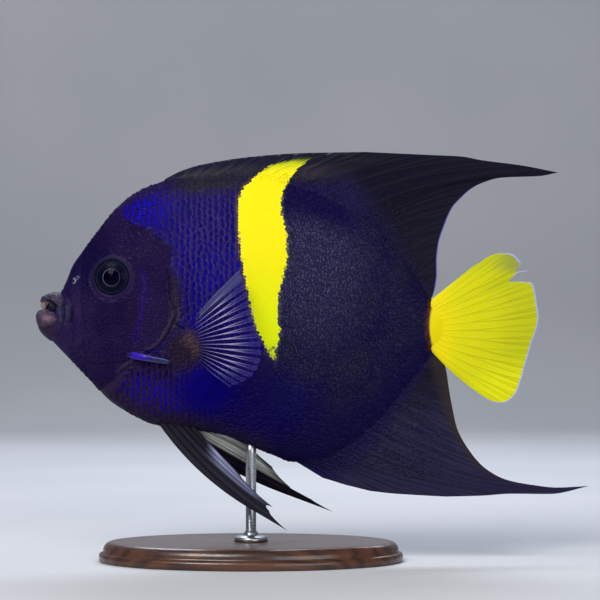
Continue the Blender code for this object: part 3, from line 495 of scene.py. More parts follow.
class Nodes:
    """Adds nodes to a tree. A value that is given is a number, a colour or an output."""

    def __init__(self, tree):
        self.tree = tree

    def put(self, socket, value):
        if isinstance(value, bpy.types.NodeSocket):
            self.tree.links.new(value, socket)
        elif value is not None:
            socket.default_value = value

    def add(self, kind, values=(), **settings):
        node = self.tree.nodes.new(kind)
        for key, value in settings.items():
            setattr(node, key, value)
        pairs = values.items() if isinstance(values, dict) else enumerate(values)
        for key, value in pairs:
            self.put(node.inputs[key], value)
        return node

    def math(self, operation, *values):
        return self.add("ShaderNodeMath", values, operation=operation).outputs[0]

    def fold(self, operation, first, *others):
        for other in others:
            first = self.math(operation, first, other)
        return first

    def times(self, *values):
        return self.fold("MULTIPLY", *values)

    def plus(self, *values):
        return self.fold("ADD", *values)

    def most(self, *values):
        return self.fold("MAXIMUM", *values)

    def less(self, value, other):
        return self.math("SUBTRACT", value, other)

    def rest(self, share):
        """What a share leaves of 1."""
        return self.math("SUBTRACT", 1.0, share)

    def vector(self, operation, *values, scale=None):
        node = self.add("ShaderNodeVectorMath", values, operation=operation)
        if scale is not None:
            self.put(node.inputs["Scale"], scale)
        return node.outputs["Value" if operation in ("LENGTH", "DISTANCE", "DOT_PRODUCT") else "Vector"]

    def split(self, place):
        return self.add("ShaderNodeSeparateXYZ", [place]).outputs

    def side_view(self, place):
        """Places along x and z in millimetres."""
        x, _, z = self.split(self.vector("SCALE", place, scale=1 / MM))
        return x, z

    def join(self, x, y, z=0.0):
        return self.add("ShaderNodeCombineXYZ", [x, y, z]).outputs[0]

    def rise(self, value, low, high, start=0.0, end=1.0):
        """Goes smoothly from start at low to end at high."""
        node = self.add("ShaderNodeMapRange", [value, low, high, start, end],
                        interpolation_type="SMOOTHSTEP")
        return node.outputs[0]

    def mix(self, share, first, second):
        node = self.add("ShaderNodeMix", {0: share, 6: first, 7: second}, data_type="RGBA")
        return node.outputs[2]

    def tint(self, value, low, high, first, second):
        """Goes from one seen colour to another as a value goes from low to high."""
        return self.mix(self.rise(value, low, high), seen(*first), seen(*second))

    def paint(self, base, coats):
        """Lays seen colours over a base, each by its own share."""
        for share, colour in coats:
            base = self.mix(share, base, seen(*colour))
        return base

    def blend(self, share, first, second):
        """Goes from the first number to the second by a share."""
        return self.plus(first, self.times(share, self.less(second, first)))

    def noise(self, place, scale, detail=2.0, roughness=0.5):
        node = self.add("ShaderNodeTexNoise", {"Vector": place, "Scale": scale, "Detail": detail,
                                               "Roughness": roughness})
        return node.outputs[0]

    def streaks(self, across, down, scale=1.0):
        """Noise over two numbers that are stretched unlike each other."""
        return self.noise(self.join(across, down), scale)

    def cells(self, place, scale):
        """Distance from the middle of the nearest of many small round cells."""
        node = self.add("ShaderNodeTexVoronoi", {"Vector": place, "Scale": scale})
        return node.outputs["Distance"]

    def line_at(self, height, line):
        """Place along x of a line of the side view at a height, as a Float Curve."""
        points = sorted((z, x) for x, z in line)
        xs, ys = [p[0] for p in points], [p[1] for p in points]
        low, high = min(ys), max(ys)
        node = self.add("ShaderNodeFloatCurve")
        share = self.add("ShaderNodeMapRange", [height, xs[0], xs[-1], 0.0, 1.0]).outputs[0]
        self.put(node.inputs["Value"], share)
        curve = node.mapping.curves[0].points
        while len(curve) < len(points):
            curve.new(0.5, 0.5)
        for point, x, y in zip(curve, xs, ys):
            point.location = ((x - xs[0]) / (xs[-1] - xs[0]), (y - low) / (high - low))
        node.mapping.update()
        return self.add("ShaderNodeMapRange", [node.outputs[0], 0.0, 1.0, low, high]).outputs[0]

    def kept(self, name, output="Fac"):
        """A number or vector that the mesh keeps for its material."""
        return self.add("ShaderNodeAttribute", attribute_name=name).outputs[output]

    def named(self, name):
        """A vector that the points keep, in geometry nodes."""
        node = self.add("GeometryNodeInputNamedAttribute", {"Name": name}, data_type="FLOAT_VECTOR")
        return node.outputs["Attribute"]

    def place(self):
        return self.add("ShaderNodeTexCoord").outputs["Object"]

    def blob(self, x, z, centre, reach, soft=0.6):
        """A soft oval patch of the side view, 1 in its middle."""
        dx = self.math("DIVIDE", self.less(x, centre[0]), reach[0])
        dz = self.math("DIVIDE", self.less(z, centre[1]), reach[1])
        away = self.vector("LENGTH", self.join(dx, dz))
        return self.rise(away, 1 + soft, 1 - soft)


def new_group(name, inputs, outputs, kind="ShaderNodeTree"):
    """An empty node group with named sockets, its builder, its input and its output node."""
    tree = bpy.data.node_groups.new(name, kind)
    for direction, sockets in (("INPUT", inputs), ("OUTPUT", outputs)):
        for label, socket in sockets:
            tree.interface.new_socket(name=label, in_out=direction, socket_type="NodeSocket" + socket)
    nodes = Nodes(tree)
    return nodes, nodes.add("NodeGroupInput").outputs, nodes.add("NodeGroupOutput").inputs


def seen(red, green, blue, light=1.15):
    """A colour as it looks on screen from 0 to 255, for a surface under this much light."""
    return tuple(min(1.0, (c / 255) ** 2.2 / light) for c in (red, green, blue)) + (1.0,)


def markings_group():
    """The fish's colours by place on its side: its ground and the centre of each scale."""
    n, given, out = new_group("fish_markings", [("Place", "Vector"), ("Level", "Float")],
                              [("Ground", "Color"), ("Spot", "Color"), ("Band", "Float"),
                               ("Speckle", "Float"), ("Fill", "Float"), ("Net", "Float")])
    mm = n.vector("SCALE", given["Place"], scale=1 / MM)
    x, _, z = n.split(mm)
    level = given["Level"]
    coarse = n.noise(mm, 0.07, 3.0)
    uneven = n.less(n.noise(mm, 0.5), 0.5)
    swept = n.streaks(n.times(x, 0.08), n.less(z, n.times(x, 0.5)), 0.9)
    streaks = n.times(n.less(swept, 0.5), 16.0)
    ragged = n.plus(x, n.times(uneven, 2.4), n.times(streaks, n.rise(z, 193.5, 199)))

    # Where the head, the band, what lies behind it and the smaller patches are
    blurred = n.plus(ragged, n.times(uneven, 3.0))
    head = n.rise(n.less(n.line_at(z, NAPE_EDGE), blurred), -2.5, 2.5)
    past_front = n.less(ragged, n.line_at(z, BAND_FRONT))
    before_rear = n.less(n.line_at(z, BAND_REAR), ragged)
    frayed = n.streaks(n.times(x, 1.3), n.times(z, 0.22))
    frayed = n.plus(z, n.times(n.less(frayed, 0.5), 24.0))
    band = n.times(n.rise(past_front, -0.3, 0.3), n.rise(before_rear, -0.3, 0.3),
                   n.rise(frayed, 100.5, 104.5))
    rear = n.blend(n.rise(z, 106, 95), n.rise(past_front, -0.5, 0.5), n.rise(past_front, -12.0, 3.0))
    beyond = n.rise(n.math("ABSOLUTE", level), 1.0, 1.35)
    strip = n.times(n.rise(level, 0.8, 0.92), n.rise(x, -46, -28))
    upper = n.times(n.rise(level, 0.62, 0.82), n.rise(x, 64, 44))
    quiet = n.most(n.rise(level, -0.4, -0.75), n.rise(x, 68, 84), upper)
    across_chest = n.plus(z, n.times(x, 0.25))
    bluish = n.blob(x, z, (3, 80), (28, 18), 0.5)
    fleshy = n.blob(x, z, (-34, 106), (9, 10))
    warm = n.times(n.most(n.blob(x, z, (-29.8, 111), (3.0, 3.4), 0.9),
                          n.blob(x, z, (-26.8, 106.5), (2.6, 4.2), 0.9)), 0.8)
    gill_edge = n.blob(x, z, (-37.4, 130), (2.6, 13), 0.8)
    off_line = n.math("ABSOLUTE", n.less(x, n.line_at(z, PREOPERCLE)))
    cheek_line = n.times(n.rise(off_line, 2.7, 0.2), n.rise(z, 107, 113), n.rise(z, 148, 141), 0.5)
    pink_fringe = n.times(n.rise(past_front, -3.0, -0.6), n.rise(past_front, 0.4, -0.2),
                          n.rise(z, 99, 106))
    pale_fringe = n.times(n.rise(before_rear, -1.8, -0.7), n.rise(before_rear, 0.1, -0.5),
                          n.rise(z, 188, 180), n.rise(z, 96, 100))
    off = n.less(z, TAIL_LEVEL)
    root = n.less(x, n.times(off, off, TAIL_CURVE))
    off = n.math("ABSOLUTE", off)
    near_tail = n.times(n.rise(root, 85.5, 89.2), n.rise(off, 16.5, 12.5))
    gold = n.times(n.rise(root, 88.4, 89.9), n.rise(off, 16.0, 14.0))

    # Ground between the scales' centres
    front_ground = n.paint(n.tint(coarse, 0.35, 0.65, (36, 26, 84), (44, 34, 90)), [
        (n.blob(x, z, (-18, 162), (16, 22)), (48, 38, 98)),
        (n.blob(x, z, (-56, 174), (13, 11)), (30, 16, 96)),
        (n.rise(z, 112, 94), (45, 33, 62)),
        (n.blob(x, z, (-21, 87), (16, 12)), (18, 4, 108)),
        (n.rise(level, 0.86, 0.97), (42, 32, 70)),
        (n.rise(level, -0.8, -0.96), (48, 40, 62)),
        (strip, (47, 44, 51))])
    rear_ground = n.paint(n.tint(coarse, 0.35, 0.65, (27, 23, 58), (34, 31, 55)), [
        (n.blob(x, z, (32, 150), (24, 40)), (43, 40, 70)),
        (upper, (26, 20, 64)),
        (n.rise(level, -0.5, -0.85), (26, 21, 66)),
        (n.times(n.rise(level, 0.72, 1.0), n.rise(x, 48, 64)), (29, 26, 48))])
    rear_ground = n.mix(beyond, rear_ground, n.tint(z, 100, 70, (20, 17, 32), (27, 24, 52)))
    head_ground = n.paint(n.tint(coarse, 0.3, 0.7, (34, 23, 62), (45, 33, 70)), [
        (n.blob(x, z, (-50, 120), (9, 20)), (46, 34, 72)),
        (n.blob(x, z, (-58.5, 121), (3, 12)), (44, 29, 60)),
        (n.blob(x, z, (-84, 150), (16, 16)), (22, 15, 56))])

    # Centres of the scales
    front_spot = n.paint(n.tint(coarse, 0.35, 0.65, (12, 1, 98), (16, 2, 126)), [
        (n.blob(x, z, (-57, 174), (12, 10)), (20, 0, 168)),
        (n.blob(x, z, (-14, 172), (22, 16)), (12, 2, 86)),
        (n.rise(z, 108, 98), (14, 4, 50)),
        (n.rise(x, -34, -24, 0.0, n.rise(z, 108, 98)), (17, 4, 92)),
        (n.blob(x, across_chest, (-48, 71.5), (16, 8)), (22, 2, 142)),
        (n.blob(x, z, (-21, 87), (16, 12)), (15, 3, 100)),
        (n.rise(level, 0.86, 0.97), (30, 18, 84)),
        (n.rise(level, -0.78, -0.94), (34, 24, 56)),
        (strip, (34, 30, 58))])
    rear_spot = n.paint(n.tint(coarse, 0.3, 0.6, (46, 42, 80), (54, 51, 80)), [
        (n.blob(x, z, (30, 150), (22, 36)), (80, 78, 106)),
        (quiet, (33, 28, 68)),
        (beyond, (30, 26, 44))])
    head_spot = n.tint(z, 150, 130, (32, 22, 62), (25, 15, 54))

    # The yellow band is greener below, and dark where it runs onto the dorsal fin
    cap = n.plus(n.less(z, n.times(x, 0.07)), n.times(streaks, 0.3))
    yellow = n.paint(n.tint(z, 160, 108, (255, 238, 30), (232, 246, 24)), [
        (n.rise(z, 193, 199), (206, 212, 26)),
        (n.rise(z, 112, 102), (206, 224, 34)),
        (n.rise(cap, 196.6, 199.6), (44, 62, 42)),
        (n.rise(z, 200.5, 203.0), (18, 22, 30))])

    def whole(front, behind, blue, on_head, patches, brown):
        """Puts the regions together, under the patches, the band and the tail fin's golden root."""
        colour = n.paint(n.mix(rear, front, behind), [blue])
        colour = n.mix(band, n.paint(n.mix(head, colour, on_head), patches), yellow)
        return n.paint(colour, [(n.times(near_tail, brown), (104, 56, 38)), (gold, (243, 222, 14))])

    ground_patches = [(fleshy, (48, 37, 56)), (warm, (82, 63, 60)), (gill_edge, (50, 44, 64)),
                      (cheek_line, (44, 22, 112)), (n.times(pink_fringe, 0.6), (92, 72, 92)),
                      (n.times(pale_fringe, 0.35), (100, 106, 130))]
    spot_patches = [(fleshy, (36, 26, 50)), (warm, (70, 52, 56)), (gill_edge, (40, 34, 60)),
                    (cheek_line, (40, 20, 106)), (n.times(pink_fringe, 0.7), (48, 36, 78))]
    n.put(out["Ground"], whole(front_ground, rear_ground, (n.times(bluish, 0.6), (14, 8, 86)),
                               head_ground, ground_patches, 0.85))
    n.put(out["Spot"], whole(front_spot, rear_spot, (n.times(bluish, 0.5), (16, 8, 92)),
                             head_spot, spot_patches, 0.7))
    n.put(out["Band"], n.most(band, gold))
    speckle = n.most(n.blend(head, n.blend(rear, 0.3, 1.0), 0.7),
                     n.times(n.blob(x, z, (-56, 168), (14, 9)), 0.85))
    n.put(out["Speckle"], n.times(speckle, n.rest(band)))
    chest = n.times(n.rise(z, 106, 98), n.rise(x, -30, -42))
    n.put(out["Fill"], n.rest(n.times(chest, 0.1)))
    n.put(out["Net"], n.times(n.rise(z, 106, 122), n.rest(n.blob(x, z, (-56, 172), (15, 13))),
                              n.rest(n.most(head, rear)), n.rise(level, 0.95, 0.8)))
    return n.tree


def rays_group():
    """The fine branching rays of a fin and the cross joints on them."""
    n, given, out = new_group("fin_rays", [("Ray", "Float"), ("Along", "Float"), ("Split", "Float"),
                                           ("Width", "Float")],
                              [("Rays", "Float"), ("Joints", "Float")])
    ray, along, split, width = (given[label] for label in ("Ray", "Along", "Split", "Width"))
    near = n.math("PINGPONG", ray, 0.5)
    branch = n.times(n.rise(along, 0.3, 0.8), split)
    off = n.math("ABSOLUTE", n.less(near, branch))
    twig = n.times(n.rise(along, 0.6, 1.0), n.times(split, 0.4))
    off = n.math("ABSOLUTE", n.less(off, twig))
    rays = n.rise(off, width, n.times(width, 0.35))
    joints = n.math("PINGPONG", n.times(along, 46.0), 0.5)
    n.put(out["Rays"], rays)
    n.put(out["Joints"], n.times(rays, n.rise(joints, 0.0, 0.16, 1.0, 0.0)))
    return n.tree


def fin_colours_group():
    """Colours of the dorsal and anal fins: indigo by the body, then blackish with fine rays."""
    n, given, out = new_group("fin_colours", [("Place", "Vector"), ("Level", "Float"), ("Ray", "Float"),
                                              ("Along", "Float"), ("Rays", "Float"), ("Brown", "Float")],
                              [("Colour", "Color")])
    x, z = n.side_view(given["Place"])
    ray, along = given["Ray"], given["Along"]
    low = n.rise(z, 95, 65)
    streaks = n.rise(n.streaks(n.times(ray, 5.0), n.times(along, 2.5)), 0.3, 0.7)
    upper = n.tint(z, 186, 150, (15, 12, 32), (28, 26, 38))
    web = n.mix(low, n.mix(streaks, upper, seen(20, 17, 33)),
                n.mix(streaks, seen(28, 25, 50), seen(44, 42, 66)))
    bony = n.mix(low, seen(32, 29, 41), seen(54, 51, 76))
    olive = n.times(n.rise(x, 56, 32), n.rise(z, 186, 192))
    web = n.paint(n.mix(n.times(given["Rays"], 0.45), web, bony), [
        (given["Brown"], (52, 43, 42)),
        (n.times(olive, n.rise(streaks, 0.0, 1.0, 0.35, 0.9)), (58, 54, 51))])
    spiny = n.times(n.rise(ray, 14, 11), n.rise(z, 180, 190))
    outer = n.times(n.rise(along, 0.5, 0.75), spiny)
    web = n.mix(outer, web, n.mix(streaks, seen(10, 10, 28), seen(40, 42, 50)))
    spine = n.rise(n.math("PINGPONG", ray, 0.5), 0.14, 0.05)
    # Painted highlight on the tips of the dorsal spines
    spine_tip_highlight = n.times(n.rise(along, 0.9, 0.97), n.rise(ray, 11.5, 10.0))
    web = n.mix(n.times(spine, spiny, n.rise(along, 0.35, 0.6)), web,
                n.mix(spine_tip_highlight, seen(9, 9, 24), seen(96, 98, 118)))
    indigo = n.mix(streaks, seen(24, 18, 60), seen(31, 25, 66))
    lively = n.most(n.rise(x, 72, 48, 0.4, 1.0), n.rise(z, 120, 110))
    near_body = n.times(n.rise(n.math("ABSOLUTE", given["Level"]), 1.32, 1.0),
                        n.rest(n.times(olive, 0.7)), lively)
    n.put(out["Colour"], n.mix(near_body, web, indigo))
    return n.tree


def skin_grain_group():
    """Fine pimpled and folded skin as a height."""
    n, given, out = new_group("skin_grain", [("Place", "Vector"), ("Pitch", "Float")],
                              [("Height", "Float")])
    pitch = n.math("DIVIDE", 1 / MM, given["Pitch"])
    pimples = n.rise(n.cells(given["Place"], pitch), 0.0, 0.7, 1.0, 0.0)
    folds = n.noise(given["Place"], n.times(pitch, 0.35), 3.0)
    n.put(out["Height"], n.plus(n.times(pimples, 0.6), folds))
    return n.tree


MARKINGS = markings_group()
RAYS = rays_group()
FIN_COLOURS = fin_colours_group()
GRAIN = skin_grain_group()


class Finish(Nodes):
    """A material with one Principled shader, whose even values are set on its own sockets."""

    def __init__(self, name, **even):
        self.material = bpy.data.materials.new(name)
        self.material.use_nodes = True
        super().__init__(self.material.node_tree)
        self.shader = self.tree.nodes["Principled BSDF"]
        for key, value in even.items():
            self.shader.inputs[key.replace("_", " ")].default_value = value

    def set(self, socket, value):
        self.put(self.shader.inputs[socket], value)

    def use(self, group, **values):
        node = self.add("ShaderNodeGroup", node_tree=group)
        for key, value in values.items():
            self.put(node.inputs[key], value)
        return node.outputs

    def patchy(self, scale, low, high):
        """A number that wanders from low to high over the surface."""
        return self.rise(self.noise(self.place(), scale), 0.3, 0.7, low, high)

    def rays(self, split, width):
        """A fin's rays and the joints on them."""
        return self.use(RAYS, Ray=self.kept("ray"), Along=self.kept("along"), Split=split, Width=width)

    def jointed(self, rays):
        """Height of rays that dip at their joints."""
        return self.plus(rays["Rays"], self.times(rays["Joints"], -0.5))

    def done(self, colour, roughness, height=None, depth=0.0):
        """The material, with a height from 0 to 1 that stands for a depth in millimetres."""
        self.set("Base Color", colour)
        self.set("Roughness", roughness)
        if height is not None:
            node = self.add("ShaderNodeBump", {"Strength": 1.0, "Distance": depth * MM, "Height": height})
            self.set("Normal", node.outputs[0])
        return self.material


def skin_finish():
    """Bare skin of the head and between the scales."""
    f = Finish("wet_skin", Specular_IOR_Level=0.07)
    place = f.place()
    colours = f.use(MARKINGS, Place=place, Level=f.kept("level"))
    dots = f.times(f.rise(f.cells(place, 1 / (1.5 * MM)), 0.5, 0.2), 0.75)
    colour = f.paint(f.mix(dots, colours["Ground"], colours["Spot"]), [
        # Grey rim round the eye, with painted light on its top
        (f.times(f.kept("orbit"), 0.8), (40, 38, 58)),
        (f.times(f.kept("grey"), 0.6), (54, 54, 76)),
        # Painted shade in the gill slit, the creases, the mouth's corner and the nostril pits
        (f.kept("crevice"), (11, 6, 22)),
        # Olive gill membrane, and a painted highlight along the gill cover's rim
        (f.kept("olive"), (58, 50, 64)),
        # Painted glint on the nostrils' rims
        (f.kept("nostril"), (205, 200, 235))])
    grain = f.use(GRAIN, Place=place, Pitch=1.1)["Height"]
    return f.done(colour, f.patchy(300.0, 0.36, 0.52), grain, 0.16)


def scale_finish():
    """One scale's colours, from its root's place on the fish, with a spot and a worn rim."""
    f = Finish("scales", Specular_IOR_Level=0.025)
    colours = f.use(MARKINGS, Place=f.kept("root", "Vector"), Level=f.kept("level"))
    along, across, _ = f.split(f.kept("leaf", "Vector"))
    broad, tone = f.kept("broad"), f.kept("tone")
    fill = f.times(colours["Fill"], f.blend(broad, 1.0, f.rise(tone, 0.0, 1.0, 0.82, 1.18)))
    wide = f.times(f.blend(broad, 0.3, 0.36), fill)
    high = f.times(f.blend(broad, 0.82, 0.86), fill)
    spot = f.vector("LENGTH", f.join(f.math("DIVIDE", f.less(along, 0.3), wide),
                                     f.math("DIVIDE", across, high)))
    ragged = f.less(f.noise(f.place(), 1100.0, 3.0), 0.5)
    inside = f.rise(f.plus(spot, f.times(ragged, 1.5)), f.blend(broad, 1.2, 1.35), 0.65)
    inside = f.times(inside, f.rest(f.times(colours["Speckle"], tone)))
    edge = f.times(f.rise(f.vector("LENGTH", f.join(along, across)), 0.78, 0.93), colours["Net"],
                   f.rise(ragged, -0.16, 0.12, 0.1, 0.9),
                   f.rise(f.math("ABSOLUTE", across), 0.9, 0.45, 0.25, 1.0), f.rise(broad, 0.7, 1.0))
    colour = f.mix(edge, f.mix(inside, colours["Ground"], colours["Spot"]), seen(88, 76, 122))
    grooves = f.math("PINGPONG", f.times(across, 5.0), 0.5)
    return f.done(colour, f.rise(along, -0.5, 1.0, 0.55, 0.45), grooves, 0.03)


def fin_coat(f, place, width, front):
    """Rays of the dorsal or anal fin, the body's markings at a place and the colour of both."""
    level, rays = f.kept("level"), f.rays(0.2, width)
    fin = f.use(FIN_COLOURS, Place=place, Level=level, Ray=f.kept("ray"), Along=f.kept("along"),
                Rays=rays["Rays"], Brown=f.kept("brown"))
    body = f.use(MARKINGS, Place=place, Level=level)
    return rays, body, f.mix(f.most(body["Band"], front), fin["Colour"], body["Ground"])


def dark_fin_finish():
    """Blackish fin with faint brown rays and a thin pale blue rear margin."""
    f = Finish("dark_fin", Specular_IOR_Level=0.08)
    front = f.times(f.kept("front"), f.rise(f.kept("along"), 0.65, 0.35))
    rays, _, colour = fin_coat(f, f.place(), 0.1, front)
    colour = f.mix(f.kept("margin"), colour, seen(122, 114, 200))
    return f.done(colour, f.patchy(400.0, 0.42, 0.6), f.jointed(rays), 0.04)


def fin_scale_finish():
    """Small scales of the dorsal and anal fins' bases, in the colours of the fin under them."""
    f = Finish("fin_scales", Specular_IOR_Level=0.08)
    _, body, colour = fin_coat(f, f.kept("root", "Vector"), 0.12, f.kept("front"))
    rim = f.rise(f.vector("LENGTH", f.kept("leaf", "Vector")), 0.55, 1.0, 0.0, 0.25)
    rim = f.times(rim, f.kept("tone"), f.rest(body["Band"]))
    colour = f.mix(rim, colour, seen(56, 52, 82))
    return f.done(colour, f.rise(f.kept("tone"), 0.0, 1.0, 0.42, 0.56))


def tail_finish():
    """Bright yellow tail fin, golden at its root, with fine rays and a pale edge."""
    f = Finish("yellow_tail", Specular_IOR_Level=0.1)
    along, rays = f.kept("along"), f.rays(0.22, 0.075)
    x, z = f.side_view(f.place())
    streaks = f.streaks(f.times(f.kept("ray"), 3.0), f.times(along, 1.5))
    lines = f.times(rays["Rays"], f.rise(along, 0.15, 0.5, 0.0, 0.55),
                    f.rise(streaks, 0.35, 0.65, 0.35, 1.0))
    colour = f.paint(f.tint(along, 0.1, 0.4, (243, 222, 14), (222, 216, 16)), [
        (f.rise(along, 0.4, 0.95), (196, 200, 20)),
        (f.times(f.rise(along, 0.4, 0.8), f.rise(z, 106, 90)), (232, 232, 20)),
        (f.times(f.rise(x, 118, 132), f.rise(z, 142, 148)), (150, 162, 66)),
        (lines, (168, 162, 16)),
        (f.times(rays["Joints"], 0.25), (150, 146, 30)),
        (f.kept("margin"), (176, 180, 246))])
    return f.done(colour, f.patchy(400.0, 0.4, 0.55), f.jointed(rays), 0.025)


def clear_fin_finish():
    """Clear membrane between pale jointed rays."""
    f = Finish("clear_fin", Specular_IOR_Level=0.12)
    along, ray, rays = f.kept("along"), f.kept("ray"), f.rays(0.17, 0.13)
    bony = f.paint(f.tint(along, 0.0, 0.3, (96, 90, 112), (154, 148, 188)), [
        (f.rise(along, 0.5, 0.9), (70, 62, 140)),
        (f.rise(ray, 12.0, 16.0, 0.0, 0.6), (64, 56, 130))])
    colour = f.paint(f.mix(rays["Rays"], seen(27, 18, 96), bony), [
        (f.kept("thick"), (84, 86, 130)),
        (f.times(rays["Joints"], f.rise(along, 0.75, 0.45, 0.0, 0.45)), (214, 210, 236))])
    bone = f.times(rays["Rays"], f.rise(along, 0.45, 0.9, 0.85, 0.3), f.rise(ray, 12.5, 16.0, 1.0, 0.45))
    web = f.rise(along, 0.3, 0.8, 0.1, 0.25)
    f.set("Alpha", f.most(bone, f.kept("thick"), web, f.rise(along, 0.08, 0.0)))
    return f.done(colour, f.rise(rays["Rays"], 0.0, 1.0, 0.25, 0.4), rays["Rays"], 0.15)


def pelvic_fin_finish():
    """Dark spine and rays with a paler bluish membrane; on the right fin's left face the pale membrane is
    painted near white as painted light shining through it.
    """
    f = Finish("pelvic_fin", Specular_IOR_Level=0.08)
    rays = f.rays(0.14, 0.16)
    streaks = f.streaks(f.times(f.kept("ray"), 4.0), f.times(f.kept("along"), 1.5), 1.6)
    streak = f.rise(streaks, 0.35, 0.65)
    pale = f.times(f.kept("pale"), f.rise(streak, 0.0, 1.0, 0.55, 1.0))
    dark = f.mix(streak, seen(13, 12, 25), seen(30, 26, 38))
    # Pale membrane, with painted light on the right fin's left face
    colour = f.mix(pale, dark, f.mix(f.kept("far"), seen(146, 148, 184), seen(250, 255, 240)))
    colour = f.mix(f.times(rays["Rays"], 0.55), colour, seen(30, 26, 40))
    return f.done(colour, f.rise(rays["Rays"], 0.0, 1.0, 0.4, 0.55), rays["Rays"], 0.07)


def lip_finish():
    """Soft wrinkled lips that turn to the head's skin round them."""
    f = Finish("lips", Specular_IOR_Level=0.12)
    place = f.place()
    colours = f.use(MARKINGS, Place=place, Level=f.kept("level"))
    blotch = f.noise(place, 420.0, 3.0)
    lip = f.tint(blotch, 0.35, 0.65, (42, 37, 58), (64, 57, 76))
    lip = f.mix(f.kept("pink"), lip, f.tint(blotch, 0.4, 0.6, (98, 76, 90), (120, 92, 104)))
    lip = f.mix(f.kept("pale"), lip, seen(94, 87, 108))
    colour = f.paint(f.mix(f.kept("lip"), colours["Ground"], lip), [
        (f.times(f.kept("grey"), 0.6), (54, 54, 76)),
        (f.kept("brown"), (50, 31, 48)),
        # Painted shade in the lips' creases
        (f.kept("crease"), (18, 10, 30))])
    grain = f.use(GRAIN, Place=place, Pitch=0.5)["Height"]
    return f.done(colour, f.rise(blotch, 0.3, 0.7, 0.35, 0.5), grain, 0.12)


def mouth_finish():
    f = Finish("mouth", Specular_IOR_Level=0.2)
    # Painted shade: the mouth's inside is coloured near black for the shade within it
    colour = f.tint(f.noise(f.place(), 500.0), 0.35, 0.65, (18, 10, 42), (34, 18, 48))
    return f.done(colour, f.patchy(300.0, 0.4, 0.6))


def eye_finish():
    """Pupil, its thin pale ring, the ringed dark iris and the clear wet front."""
    f = Finish("eye", Coat_Weight=0.03, Coat_Roughness=0.05, Specular_IOR_Level=0.03)
    out = f.kept("radius")
    rings = f.math("PINGPONG", f.times(out, 1.1), 0.5)
    outer_ring = f.times(f.rise(out, 7.3, 7.6), f.rise(out, 8.1, 7.9), 0.6)
    # A pale ring round the pupil, painted lighter on its front side as a painted highlight where light
    # catches it
    pale_ring = f.times(f.rise(out, 4.05, 4.2), f.rise(out, 4.5, 4.3), f.kept("front"))
    colour = f.paint(f.tint(rings, 0.1, 0.4, (4, 5, 32), (12, 14, 40)), [
        (f.rise(out, 5.6, 7.2), (17, 19, 38)),
        (f.rise(f.noise(f.place(), 900.0, 3.0), 0.45, 0.75, 0.0, 0.5), (28, 30, 42)),
        (outer_ring, (38, 40, 56)),
        (pale_ring, (104, 104, 136)),
        (f.rise(out, 4.2, 4.05), (3, 3, 24))])
    return f.done(colour, f.rise(out, 4.1, 4.4, 0.08, 0.35), f.rise(rings, 0.1, 0.4), 0.05)


def tooth_finish():
    """Ivory teeth, brownish at their roots and towards the back."""
    f = Finish("teeth", Specular_IOR_Level=0.15)
    x, z = f.side_view(f.place())
    tooth_colour = f.paint(f.tint(f.noise(f.place(), 800.0), 0.3, 0.7, (118, 116, 110), (138, 134, 120)), [
        # Darker towards the back of the mouth
        (f.rise(x, -103.6, -101.8), (84, 62, 80)),
        (f.rise(z, 128.7, 129.4), (132, 104, 84))])
    return f.done(tooth_colour, f.patchy(300.0, 0.3, 0.45))


def cheek_spine_finish():
    """Blue-violet bone that turns to a pale-rimmed grey-teal tip."""
    f = Finish("cheek_spine", Coat_Weight=0.05, Coat_Roughness=0.1, Specular_IOR_Level=0.15)
    along, rim = f.kept("along"), f.rise(f.kept("rim"), 0.45, 0.9)
    root = f.mix(rim, seen(48, 26, 158), seen(64, 50, 158))
    tip = f.mix(rim, seen(40, 36, 92), seen(98, 108, 128))
    colour = f.mix(f.rise(along, 0.35, 0.65), root, tip)
    colour = f.mix(f.rise(along, 0.2, 0.04), colour, seen(34, 22, 66))
    fibres = f.noise(f.vector("MULTIPLY", f.place(), (0.15, 1.0, 1.0)), 1500.0)
    return f.done(colour, f.patchy(500.0, 0.25, 0.4), fibres, 0.06)


def wood_finish():
    """Satin varnished dark wood with long grain."""
    f = Finish("varnished_wood", Coat_Weight=0.5, Coat_Roughness=0.18, Specular_IOR_Level=0.4)
    place = f.place()
    long_way = f.vector("MULTIPLY", place, (0.07, 1.0, 1.0))
    bend = f.times(f.noise(long_way, 60.0, 3.0), 9.0)
    across = f.split(place)["Y"]
    growth = f.math("PINGPONG", f.plus(f.times(across, 260.0), bend), 1.0)
    pores = f.rise(f.noise(f.vector("MULTIPLY", place, (0.03, 1.0, 1.0)), 2600.0), 0.55, 0.72)
    colour = f.tint(growth, 0.0, 1.0, (92, 56, 36), (58, 33, 22))
    colour = f.mix(f.times(pores, 0.6), colour, seen(32, 18, 13))
    return f.done(colour, f.rise(pores, 0.0, 1.0, 0.36, 0.6), f.times(pores, -1.0), 0.08)


def steel_finish():
    """Fine brushed steel, turned round the rod."""
    f = Finish("brushed_steel", Metallic=1.0)
    rings = f.noise(f.vector("MULTIPLY", f.place(), (0.05, 0.05, 1.0)), 6000.0)
    colour = f.tint(rings, 0.3, 0.7, (158, 160, 164), (190, 191, 194))
    return f.done(colour, f.rise(rings, 0.3, 0.7, 0.24, 0.4), rings, 0.02)


def floor_finish():
    f = Finish("studio_floor", Specular_IOR_Level=0.2)
    clouds = f.rise(f.noise(f.place(), 3.0), 0.3, 0.7)
    return f.done(f.mix(clouds, (0.56, 0.57, 0.59, 1), (0.62, 0.62, 0.63, 1)), 0.85)


# Skin

